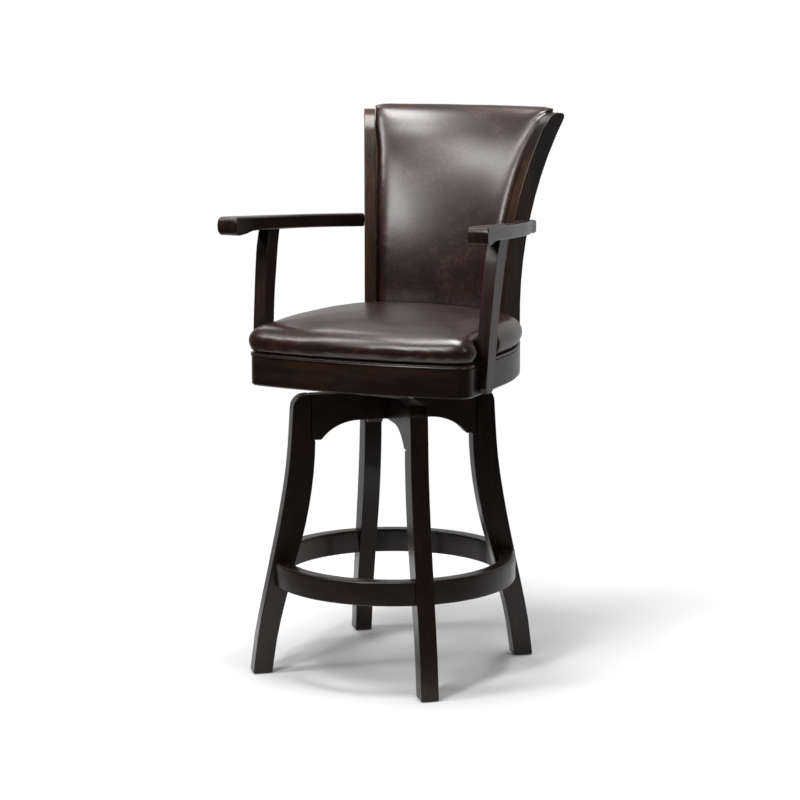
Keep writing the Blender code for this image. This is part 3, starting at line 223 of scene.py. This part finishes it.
def bump(tree, shader, height, strength, distance):
    node = tree.nodes.new("ShaderNodeBump")
    node.inputs["Strength"].default_value = strength
    node.inputs["Distance"].default_value = distance
    tree.links.new(height, node.inputs["Height"])
    tree.links.new(node.outputs["Normal"], shader.inputs["Normal"])


espresso = {
    "deep": (0.0068, 0.0038, 0.0028),
    "stain": (0.0135, 0.0067, 0.0043),
    "warm": (0.062, 0.0265, 0.0105),
    "tonePlaces": (0.38, 0.54, 0.80),
    "patchScale": 3.6,
    "patchShare": 0.66,
    "grainScale": 30.0,
    "streakScaleShare": 0.3,
    "grainShade": 0.74,
    "roughness": (0.27, 0.37),
    "gloss": 0.27,
    "coat": 0.16,
    "coatRoughness": 0.12,
    "relief": (0.08, 0.0003),
}


# near-black stained wood under satin lacquer, rubbed through to a warmer brown in places
def espressoWood(name, alongGrain, turn=0.0, warmth=0.0):
    material, tree, shader = newMaterial(name)
    grainAt = placedCoords(tree, alongGrain, turn)
    patchAt = placedCoords(tree, tuple(0.4 + 0.25 * share for share in alongGrain), turn)
    patches = noise(tree, patchAt, espresso["patchScale"], 3.0, 0.5, 0.3)
    grain = noise(tree, grainAt, espresso["grainScale"], 6.0, 0.6, 0.15)
    streakScale = espresso["grainScale"] * espresso["streakScaleShare"]
    streaks = noise(tree, grainAt, streakScale, 4.0, 0.55, 0.4)
    deepAt, stainAt, warmAt = espresso["tonePlaces"]
    base = ramp(tree, blended(tree, patches, espresso["patchShare"], streaks), [
        (deepAt, espresso["deep"]),
        (stainAt - warmth, espresso["stain"]),
        (warmAt - warmth, espresso["warm"]),
    ])
    shade = ramp(tree, grain, [(0.32, espresso["grainShade"]), (0.62, 1.0)])
    tree.links.new(darkened(tree, base, shade), shader.inputs["Base Color"])
    low, high = espresso["roughness"]
    tree.links.new(ramp(tree, grain, [(0.3, low), (0.75, high)]), shader.inputs["Roughness"])
    shader.inputs["Specular IOR Level"].default_value = espresso["gloss"]
    shader.inputs["Coat Weight"].default_value = espresso["coat"]
    shader.inputs["Coat Roughness"].default_value = espresso["coatRoughness"]
    bump(tree, shader, grain, *espresso["relief"])
    return material


hide = {
    "dark": (0.0100, 0.0036, 0.0027),
    "middle": (0.0215, 0.0080, 0.0056),
    "rubbed": (0.076, 0.0290, 0.0148),
    "tonePlaces": (0.36, 0.52, 0.70),
    "mottleScale": 130.0,
    "mottleShare": 0.6,
    "cloudScale": 11.0,
    "creaseScale": 560.0,
    "creaseWidth": 0.16,
    "creaseShade": 0.78,
    "poreScale": 300.0,
    "roughness": (0.27, 0.34),
    "coat": 0.14,
    "coatRoughness": 0.2,
    "relief": (0.1, 0.0003),
}


# dark brown leather, mottled in cloudy spots and finely grained, with a soft shine
def brownLeather(name):
    material, tree, shader = newMaterial(name)
    at = placedCoords(tree)
    mottle = noise(tree, at, hide["mottleScale"], 6.0, 0.66)
    clouds = noise(tree, at, hide["cloudScale"], 4.0, 0.55, 0.6)
    tones = zip(hide["tonePlaces"], (hide["dark"], hide["middle"], hide["rubbed"]))
    base = ramp(tree, blended(tree, mottle, hide["mottleShare"], clouds), list(tones))
    cells = tree.nodes.new("ShaderNodeTexVoronoi")
    cells.feature = "DISTANCE_TO_EDGE"
    cells.inputs["Scale"].default_value = hide["creaseScale"]
    tree.links.new(at, cells.inputs["Vector"])
    creases = ramp(tree, cells.outputs["Distance"], [(0.0, 0.0), (hide["creaseWidth"], 1.0)])
    shade = ramp(tree, creases, [(0.0, hide["creaseShade"]), (1.0, 1.0)])
    tree.links.new(darkened(tree, base, shade), shader.inputs["Base Color"])
    low, high = hide["roughness"]
    tree.links.new(ramp(tree, clouds, [(0.3, low), (0.72, high)]), shader.inputs["Roughness"])
    shader.inputs["Coat Weight"].default_value = hide["coat"]
    shader.inputs["Coat Roughness"].default_value = hide["coatRoughness"]
    bump(tree, shader, noise(tree, at, hide["poreScale"], 2.0), *hide["relief"])
    return material


def bareWood(name, light, dark, alongGrain, turn=0.0):
    material, tree, shader = newMaterial(name)
    grain = noise(tree, placedCoords(tree, alongGrain, turn), 30.0, 6.0, 0.6, 0.6)
    tree.links.new(ramp(tree, grain, [(0.3, dark), (0.68, light)]), shader.inputs["Base Color"])
    tree.links.new(ramp(tree, grain, [(0.3, 0.52), (0.7, 0.68)]), shader.inputs["Roughness"])
    bump(tree, shader, grain, 0.15, 0.0005)
    return material


def platedSteel(name, tone, roughness):
    material, tree, shader = newMaterial(name)
    at = placedCoords(tree)
    spangle = noise(tree, at, 90.0, 5.0, 0.6)
    light = tuple(value * 1.12 for value in tone)
    tree.links.new(ramp(tree, spangle, [(0.35, tone), (0.7, light)]), shader.inputs["Base Color"])
    shades = ramp(tree, spangle, [(0.3, roughness * 0.85), (0.7, roughness * 1.2)])
    tree.links.new(shades, shader.inputs["Roughness"])
    shader.inputs["Metallic"].default_value = 1
    bump(tree, shader, spangle, 0.08, 0.0002)
    return material


def blackNylon(name):
    material, tree, shader = newMaterial(name)
    grain = noise(tree, placedCoords(tree), 500.0, 3.0)
    tree.links.new(ramp(tree, grain, [(0.3, 0.011), (0.7, 0.02)]), shader.inputs["Base Color"])
    tree.links.new(ramp(tree, grain, [(0.3, 0.45), (0.7, 0.55)]), shader.inputs["Roughness"])
    bump(tree, shader, grain, 0.2, 0.0002)
    return material


baseTurn = math.radians(8)
uprightGrain = (6.0, 6.0, 0.5)
alongX = (0.5, 6.0, 6.0)
alongY = (6.0, 0.5, 6.0)
finishes = {
    "legs": espressoWood("espressoLegs", uprightGrain, baseTurn, -0.02),
    "rails": espressoWood("espressoRails", alongX, baseTurn + math.radians(135)),
    "crossRails": espressoWood("espressoCrossRails", alongX, baseTurn + math.radians(45)),
    "footrest": espressoWood("espressoFootrest", (1.3, 1.3, 6.0), 0.0, -0.02),
    "band": espressoWood("espressoBand", (0.9, 0.9, 6.0), 0.0, 0.02),
    "stiles": espressoWood("espressoStiles", uprightGrain, 0.0, 0.16),
    "rightStile": espressoWood("espressoRightStile", uprightGrain, 0.0, 0.07),
    "arms": espressoWood("espressoArms", alongY),
    "supports": espressoWood("espressoSupports", uprightGrain),
    "leather": brownLeather("mottledLeather"),
    # the plywood is made near-black, a painted shade, so that where its edges show in the gaps it
    # reads as the shade there
    "plywood": bareWood("plywoodDarkenedAsShade", (0.085, 0.05, 0.03), (0.05, 0.028, 0.016), (1.0, 1.0, 14.0)),
    "beech": bareWood("bareBeech", (0.52, 0.36, 0.22), (0.4, 0.26, 0.15), alongX),
    "zinc": platedSteel("zincPlate", (0.5, 0.5, 0.5), 0.34),
    "blackSteel": platedSteel("blackenedSteel", (0.035, 0.035, 0.037), 0.4),
    "nylon": blackNylon("blackNylon"),
}

finishOfNode = (
    ("leg_tenon", "beech"),
    ("leg_", "legs"),
    ("cross_rail_lower", "rails"),
    ("cross_rail_upper", "crossRails"),
    ("footrest_dowel", "beech"),
    ("footrest_", "footrest"),
    ("glide_", "nylon"),
    ("swivel_screw", "blackSteel"),
    ("swivel_", "zinc"),
    ("stile_bolt", "blackSteel"),
    ("support_bolt", "blackSteel"),
    ("stile_right", "rightStile"),
    ("stile_", "stiles"),
    ("seat_band", "band"),
    ("seat_rail", "beech"),
    ("cushion_board", "plywood"),
    ("back_frame", "plywood"),
    ("back_rail", "band"),
    ("arm_support", "supports"),
    ("arm_", "arms"),
)

edges = {
    "weld": 0.00002,
    "flatWithin": math.radians(0.3),
    "bevel": 0.0007,
    "bevelSegments": 3,
    "bevelOver": math.radians(40),
    "smoothUnder": math.radians(32),
}


# shades a faceted curve smooth and keeps its real corners sharp
def smoothingGroup():
    group = bpy.data.node_groups.new("smoothFacets", "GeometryNodeTree")
    for direction in ("INPUT", "OUTPUT"):
        group.interface.new_socket("Geometry", in_out=direction, socket_type="NodeSocketGeometry")
    entry = group.nodes.new("NodeGroupInput")
    leave = group.nodes.new("NodeGroupOutput")
    faces = group.nodes.new("GeometryNodeSetShadeSmooth")
    faces.domain = "FACE"
    faces.inputs["Shade Smooth"].default_value = True
    corners = group.nodes.new("GeometryNodeSetShadeSmooth")
    corners.domain = "EDGE"
    corners.inputs["Shade Smooth"].default_value = False
    angle = group.nodes.new("GeometryNodeInputMeshEdgeAngle")
    compare = group.nodes.new("FunctionNodeCompare")
    compare.data_type = "FLOAT"
    compare.operation = "GREATER_THAN"
    compare.inputs[1].default_value = edges["smoothUnder"]
    group.links.new(angle.outputs["Unsigned Angle"], compare.inputs[0])
    group.links.new(compare.outputs["Result"], corners.inputs["Selection"])
    group.links.new(entry.outputs[0], faces.inputs["Geometry"])
    group.links.new(faces.outputs["Geometry"], corners.inputs["Geometry"])
    group.links.new(corners.outputs["Geometry"], leave.inputs[0])
    return group


smoothFacets = smoothingGroup()


# live modifiers only, so that the CAD node's own mesh stays as it is
def easeEdges(node):
    for name, kind, settings in (
        ("weld", "WELD", {"merge_threshold": edges["weld"]}),
        ("flat", "DECIMATE", {"decimate_type": "DISSOLVE", "angle_limit": edges["flatWithin"]}),
        ("bevel", "BEVEL", {
            "width": edges["bevel"],
            "segments": edges["bevelSegments"],
            "limit_method": "ANGLE",
            "angle_limit": edges["bevelOver"],
        }),
        ("smooth", "NODES", {"node_group": smoothFacets}),
        ("even", "WEIGHTED_NORMAL", {"keep_sharp": True}),
    ):
        modifier = node.modifiers.new(name, kind)
        for key, value in settings.items():
            setattr(modifier, key, value)


for nodeName, node in cadNodes.items():
    for start, finish in finishOfNode:
        if nodeName.startswith(start):
            for slot in node.material_slots:
                slot.material = finishes[finish]
            easeEdges(node)
            break
print("finishes and eased edges on the CAD nodes")


# averages a value at each point with its neighbours' values, round after round
def evened(piece, field, rounds):
    ends = np.empty(len(piece.data.edges) * 2, dtype=np.int32)
    piece.data.edges.foreach_get("vertices", ends)
    first, second = ends.reshape(-1, 2).T
    count = len(field)
    near = np.bincount(ends, minlength=count)
    for _ in range(rounds):
        mean = np.empty_like(field)
        for axis in range(3):
            mean[:, axis] = np.bincount(first, field[second, axis], count)
            mean[:, axis] += np.bincount(second, field[first, axis], count)
            mean[:, axis] /= near
        field = (field + mean) / 2
    return field


# takes out small lumps and gives back the size that the smoothing would lose
def calmed(piece, points, rounds):
    smooth = evened(piece, points, rounds)
    return smooth - evened(piece, smooth - points, rounds * 2)


cloths = {"quality": 6, "frames": 20, "leastHeld": 0.01}


# remesh a soft piece, blow it up as cloth where it isn't held, and cap how far it moves
def plump(piece, pad, heldShare):
    steps = (
        ("inset", "DISPLACE", {"direction": "NORMAL", "strength": -pad["inset"], "mid_level": 0}),
        ("remesh", "REMESH", {"mode": "VOXEL", "voxel_size": pad["voxel"]}),
        ("smooth", "SMOOTH", {"factor": 0.5, "iterations": pad["smoothing"]}),
    )
    for name, kind, settings in steps:
        modifier = piece.modifiers.new(name, kind)
        for key, value in settings.items():
            setattr(modifier, key, value)
    applyModifiers(piece)
    start = pointsOf(piece)
    held = heldShare(start)
    group = piece.vertex_groups.new(name="held")
    for index in np.nonzero(held > cloths["leastHeld"])[0]:
        group.add([int(index)], float(held[index]), "REPLACE")
    cloth = piece.modifiers.new("cloth", "CLOTH")
    cloth.settings.use_pressure = True
    cloth.settings.uniform_pressure_force = pad["pressure"]
    cloth.settings.effector_weights.gravity = 0
    cloth.settings.quality = cloths["quality"]
    cloth.settings.tension_stiffness = pad["stiffness"]
    cloth.settings.compression_stiffness = pad["stiffness"]
    cloth.settings.bending_stiffness = pad["bending"]
    cloth.settings.vertex_group_mass = "held"
    cloth.collision_settings.use_collision = False
    for step in range(cloths["frames"]):
        bpy.context.scene.frame_set(step + 1)
    applyModifiers(piece)
    bpy.context.scene.frame_set(1)
    moved = pointsOf(piece) - start
    length = np.linalg.norm(moved, axis=1, keepdims=True)
    moved *= np.minimum(1, pad["cap"] / np.maximum(length, 1e-9))
    setPoints(piece, start + evened(piece, moved, pad["spread"]))
    piece.vertex_groups.clear()
    held = held * pad["inset"]
    swollen = pointsOf(piece) + normalsOf(piece) * held[:, None]
    setPoints(piece, calmed(piece, swollen, pad["calming"]))
    makeFiner(piece, 1)


def finishSoft(piece, nodeName):
    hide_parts(nodeName)
    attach(piece, "seat")
    piece.data.materials.clear()
    piece.data.materials.append(finishes["leather"])


# places that the soft pieces share with the solids round them, from the swivel's axis
around = {
    "supportSide": 0.2382,
    "supportFront": -0.142,
    "supportRear": -0.062,
    "supportFade": 0.028,
    "backCentre": -0.1177,
    "backRadius": 0.384,
    "stileTurn": math.radians(23.5),
    "stileSide": 0.0134,
    "leanStart": 0.722,
    "leanRadius": 0.774,
}
backCentreY = swivelAt.y + around["backCentre"]


def radiusOf(points):
    return np.hypot(points[:, 0], points[:, 1] - backCentreY)


def moveRadially(points, distance):
    radius = np.maximum(radiusOf(points), 1e-6)
    points[:, 0] += points[:, 0] / radius * distance
    points[:, 1] += (points[:, 1] - backCentreY) / radius * distance


# how far behind the stiles' front edges each point lies
def depthOf(points):
    rise = np.maximum(points[:, 2] - around["leanStart"], 0)
    lean = around["leanRadius"] - np.sqrt(around["leanRadius"] ** 2 - rise ** 2)
    return radiusOf(points) - around["backRadius"] - lean


# how far each point lies inside the nearer stile's inner face
def besideStiles(points):
    across, along = math.cos(around["stileTurn"]), math.sin(around["stileTurn"])
    inside = (points[:, 1] - backCentreY) * along - np.abs(points[:, 0]) * across
    return inside - around["stileSide"]


def moveFromStiles(points, distance):
    points[:, 0] -= np.sign(points[:, 0]) * distance * math.cos(around["stileTurn"])
    points[:, 1] += distance * math.sin(around["stileTurn"])


def clearOfStiles(points):
    moveFromStiles(points, np.maximum(-besideStiles(points), 0))


seatCushionValues = {
    "inset": 0.0012,
    "voxel": 0.006,
    "smoothing": 4,
    "pressure": 3.0,
    "stiffness": 15,
    "bending": 30,
    "cap": 0.0050,
    "spread": 80,
    "calming": 14,
    "heldWhole": 0.006,
    "heldFade": 0.010,
    "crownRoom": 0.004,
    "bulge": 0.0025,
    "bulgeFrom": 0.002,
    "bulgeHeight": 0.032,
    "bulgeTop": 0.072,
    "stileGap": 0.009,
    "stilesFrom": 0.1,
    "stilesTo": 0.2,
    "flatHeight": 0.012,
    "flatShare": 0.8,
    "lift": 0.0002,
    "tightness": 0.85,
}

seatCushion = copyOfNode("seat_cushion", "seatCushion")
seatLow, seatHigh = [Vector(corner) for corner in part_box("seat_cushion")]


def seatHeld(points):
    whole = seatLow.z + seatCushionValues["heldWhole"]
    return 1 - smoothStep(whole, whole + seatCushionValues["heldFade"], points[:, 2])


# a slight bulge all round, level with the middle of the side
def bulgeSides(points, outwards, values):
    widest = seatLow.z + values["bulgeHeight"]
    swell = smoothStep(seatLow.z + values["bulgeFrom"], widest, points[:, 2])
    swell *= 1 - smoothStep(widest, seatLow.z + values["bulgeTop"], points[:, 2])
    points[:, :2] += outwards[:, :2] * (swell * values["bulge"])[:, None]


# keeps the cushion clear of the arms' supports at its sides and of the stiles behind it
def clearOfSupports(points, values):
    y = points[:, 1] - swivelAt.y
    fade = around["supportFade"]
    beside = smoothStep(around["supportFront"] - fade, around["supportFront"], y)
    beside *= 1 - smoothStep(around["supportRear"], around["supportRear"] + fade, y)
    excess = np.maximum(np.abs(points[:, 0]) - around["supportSide"], 0)
    points[:, 0] -= np.sign(points[:, 0]) * excess * beside
    inTheWay = np.maximum(radiusOf(points) - (around["backRadius"] - values["stileGap"]), 0)
    moveRadially(points, -inTheWay * smoothStep(values["stilesFrom"], values["stilesTo"], y))


# flattens the underside, which rests on the board and the welt
def restOnBoard(points, values):
    drop = 1 - smoothStep(seatLow.z, seatLow.z + values["flatHeight"], points[:, 2])
    points[:, 2] -= drop * (points[:, 2] - seatLow.z) * values["flatShare"]
    lowest, highest = seatLow.z + values["lift"], seatHigh.z + values["crownRoom"]
    points[:, 2] = np.clip(points[:, 2], lowest, highest)


plump(seatCushion, seatCushionValues, seatHeld)
points = pointsOf(seatCushion)
bulgeSides(points, normalsOf(seatCushion), seatCushionValues)
clearOfSupports(points, seatCushionValues)
restOnBoard(points, seatCushionValues)
setPoints(seatCushion, points)
finishSoft(seatCushion, "seat_cushion")
print("seat cushion plumped:", len(points), "points")


backPadValues = {
    "inset": 0.0022,
    "voxel": 0.005,
    "smoothing": 6,
    "pressure": 2.5,
    "stiffness": 16,
    "bending": 8,
    "cap": 0.0055,
    "spread": 60,
    "calming": 34,
    "heldDepth": (0.016, 0.024),
    "heldHeight": 0.02,
    "pleatDepth": 0.0012,
    "pleats": 9,
    "pleatReach": 0.045,
    "pleatFullShare": 0.2,
    "pleatOffset": 0.004,
    "cornerFrom": 0.10,
    "cornerTo": 0.035,
    "cornerReach": 0.04,
    "cornerWidening": 0.0055,
    "seatGap": 0.0075,
    "overSeat": 0.006,
    "headRise": 0.003,
    "headReach": 0.05,
    "headRoom": 0.004,
    "tightness": 0.8,
}

backPad = copyOfNode("back_pad", "backPad")
padLow, padHigh = [Vector(corner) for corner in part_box("back_pad")]


def padHeld(points):
    rear = smoothStep(*backPadValues["heldDepth"], depthOf(points))
    low = 1 - smoothStep(padLow.z, padLow.z + backPadValues["heldHeight"], points[:, 2])
    return np.maximum(rear, low)


# small pleats that fan out of the two top corners
def pleatCorners(points, outwards, values):
    reach, beside = values["pleatReach"], besideStiles(points)
    fullFrom = padHigh.z - reach * values["pleatFullShare"]
    top = smoothStep(padHigh.z - reach, fullFrom, points[:, 2])
    corner = 1 - smoothStep(0.0, reach, beside)
    fan = np.arctan2(padHigh.z - points[:, 2], beside + values["pleatOffset"])
    fold = np.maximum(np.sin(fan * values["pleats"]), 0) ** 2
    points -= outwards * (fold * top * corner * values["pleatDepth"])[:, None]


# fills the two top corners out to the stiles, so that no gap shows beside them
def fillCorners(points, values):
    start, end = padHigh.z - values["cornerFrom"], padHigh.z - values["cornerTo"]
    upper = smoothStep(start, end, points[:, 2])
    upper *= 1 - smoothStep(0.0, values["cornerReach"], besideStiles(points))
    moveFromStiles(points, -upper * values["cornerWidening"])
    clearOfStiles(points)


# holds the pad's foot behind the cushion's rear edge
def clearOfCushion(points, values):
    lowFront = (depthOf(points) < 0.0) & (points[:, 2] < seatHigh.z + values["overSeat"])
    short = np.maximum((around["backRadius"] - values["seatGap"]) - radiusOf(points), 0)
    moveRadially(points, np.where(lowFront, short, 0))


# lifts the head a little over the stiles
def raiseHead(points, values):
    head = smoothStep(padHigh.z - values["headReach"], padHigh.z, points[:, 2])
    points[:, 2] += head * values["headRise"]
    points[:, 2] = np.clip(points[:, 2], padLow.z, padHigh.z + values["headRoom"])


plump(backPad, backPadValues, padHeld)
points = pointsOf(backPad)
pleatCorners(points, normalsOf(backPad), backPadValues)
fillCorners(points, backPadValues)
clearOfCushion(points, backPadValues)
raiseHead(points, backPadValues)
setPoints(backPad, points)
finishSoft(backPad, "back_pad")
print("back pad plumped:", len(points), "points")


# too thin to be remeshed: the panel is stretched tight, so it keeps its form and is made finer
backCoverValues = {
    "edgeCrease": math.radians(50),
    "crease": 0.6,
    "finer": 2,
    "tightness": 0.9,
}

backCover = copyOfNode("back_cover", "backCover")
bpy.ops.object.mode_set(mode="EDIT")
bpy.ops.mesh.select_mode(type="EDGE")
bpy.ops.mesh.select_all(action="DESELECT")
bpy.ops.mesh.edges_select_sharp(sharpness=backCoverValues["edgeCrease"])
bpy.ops.transform.edge_crease(value=backCoverValues["crease"])
bpy.ops.object.mode_set(mode="OBJECT")
makeFiner(backCover, backCoverValues["finer"])
finishSoft(backCover, "back_cover")
print("back cover made:", len(backCover.data.vertices), "points")


seatWeltValues = {"finer": 2, "tightness": 1.0}

seatWelt = copyOfNode("seat_welt", "seatWelt")
makeFiner(seatWelt, seatWeltValues["finer"])
finishSoft(seatWelt, "seat_welt")
print("welt made")


floorValues = {
    "radius": 0.95,
    "sides": 96,
    "drop": 0.0005,
    "tone": 0.77,
    "toneSpread": 1.02,
    "toneScale": 2.0,
    "roughness": 0.95,
    "glow": 0.03,
    "rimPaintedGlow": 0.18,
    "fadeFrom": 0.5,
}


# a pale matt floor that fades to white before its rim, so that no edge shows: it glows of itself, a
# painted light that is faint in the middle and grows towards the rim, where it paints out the
# shadows
def paleFloorWithPaintedGlow(name):
    material, tree, shader = newMaterial(name)
    at = placedCoords(tree)
    clouds = noise(tree, at, floorValues["toneScale"], 2.0)
    tone = floorValues["tone"]
    tones = ramp(tree, clouds, [(0.3, tone), (0.7, tone * floorValues["toneSpread"])])
    tree.links.new(tones, shader.inputs["Base Color"])
    shader.inputs["Roughness"].default_value = floorValues["roughness"]
    shader.inputs["Specular IOR Level"].default_value = 0.0
    shader.inputs["Emission Color"].default_value = (1, 1, 1, 1)
    fromMiddle = tree.nodes.new("ShaderNodeVectorMath")
    fromMiddle.operation = "LENGTH"
    tree.links.new(at, fromMiddle.inputs[0])
    # painted light: the floor's own glow rises from fadeFrom out to the rim and lifts the shadows
    # there to white
    glow = ramp(tree, fromMiddle.outputs["Value"], [
        (floorValues["fadeFrom"], floorValues["glow"]),
        (floorValues["radius"], floorValues["rimPaintedGlow"]),
    ])
    tree.links.new(glow, shader.inputs["Emission Strength"])
    return material


deselectAll()
bpy.ops.mesh.primitive_circle_add(
    vertices=floorValues["sides"],
    radius=floorValues["radius"],
    fill_type="NGON",
    location=(0, 0, -floorValues["drop"]),
)
floor = bpy.context.object
floor.name = "floor"
floor.data.materials.append(paleFloorWithPaintedGlow("paleFloorWithPaintedGlow"))


studio = {
    "aim": (0.0, 0.0, 0.75),
    "front": 0.075,
    "rear": 0.68,
    "turnFrom": 0.0,
    "turnTo": 0.8,
}


# a large area light aimed at the stool, its azimuth measured round from the front to the right
def softbox(name, azimuth, elevation, distance, width, height, power):
    turn, rise = math.radians(azimuth), math.radians(elevation)
    aim = Vector(studio["aim"])
    level = math.cos(rise)
    away = Vector((math.sin(turn) * level, -math.cos(turn) * level, math.sin(rise)))
    deselectAll()
    bpy.ops.object.light_add(type="AREA", location=aim + away * distance)
    light = bpy.context.object
    light.name = name
    light.rotation_euler = away.to_track_quat("Z", "Y").to_euler()
    light.data.shape = "RECTANGLE"
    light.data.size = width
    light.data.size_y = height
    light.data.energy = power
    return light


softbox("topBox", 0, 88, 2.9, 1.3, 1.3, 118)
softbox("frontBox", -11, 37, 3.4, 0.4, 1.6, 50)
softbox("leftBox", -49, 50, 3.4, 0.5, 1.7, 46)
softbox("rearLeftBox", -130, 46, 3.2, 1.1, 1.1, 14)
softbox("rightBox", 62, 30, 3.4, 0.4, 1.4, 10)


# white to look at, but it lights the stool from behind more than from the front
def whiteStudio(name):
    world = bpy.data.worlds.new(name)
    world.use_nodes = True
    sky = world.node_tree
    sky.nodes.clear()
    output = sky.nodes.new("ShaderNodeOutputWorld")
    seen = sky.nodes.new("ShaderNodeBackground")
    seen.inputs["Color"].default_value = (1, 1, 1, 1)
    seen.inputs["Strength"].default_value = 1.0
    lighting = sky.nodes.new("ShaderNodeBackground")
    coords = sky.nodes.new("ShaderNodeTexCoord")
    split = sky.nodes.new("ShaderNodeSeparateXYZ")
    behindStool = sky.nodes.new("ShaderNodeMapRange")
    behindStool.interpolation_type = "SMOOTHSTEP"
    for socket, value in (
        ("From Min", "turnFrom"),
        ("From Max", "turnTo"),
        ("To Min", "front"),
        ("To Max", "rear"),
    ):
        behindStool.inputs[socket].default_value = studio[value]
    rays = sky.nodes.new("ShaderNodeLightPath")
    choose = sky.nodes.new("ShaderNodeMixShader")
    for start, end in (
        (coords.outputs["Generated"], split.inputs["Vector"]),
        (split.outputs["Y"], behindStool.inputs["Value"]),
        (behindStool.outputs["Result"], lighting.inputs["Strength"]),
        (rays.outputs["Is Camera Ray"], choose.inputs["Fac"]),
        (lighting.outputs["Background"], choose.inputs[1]),
        (seen.outputs["Background"], choose.inputs[2]),
        (choose.outputs["Shader"], output.inputs["Surface"]),
    ):
        sky.links.new(start, end)
    return world


bpy.context.scene.world = whiteStudio("whiteStudio")
print("floor and lights placed")
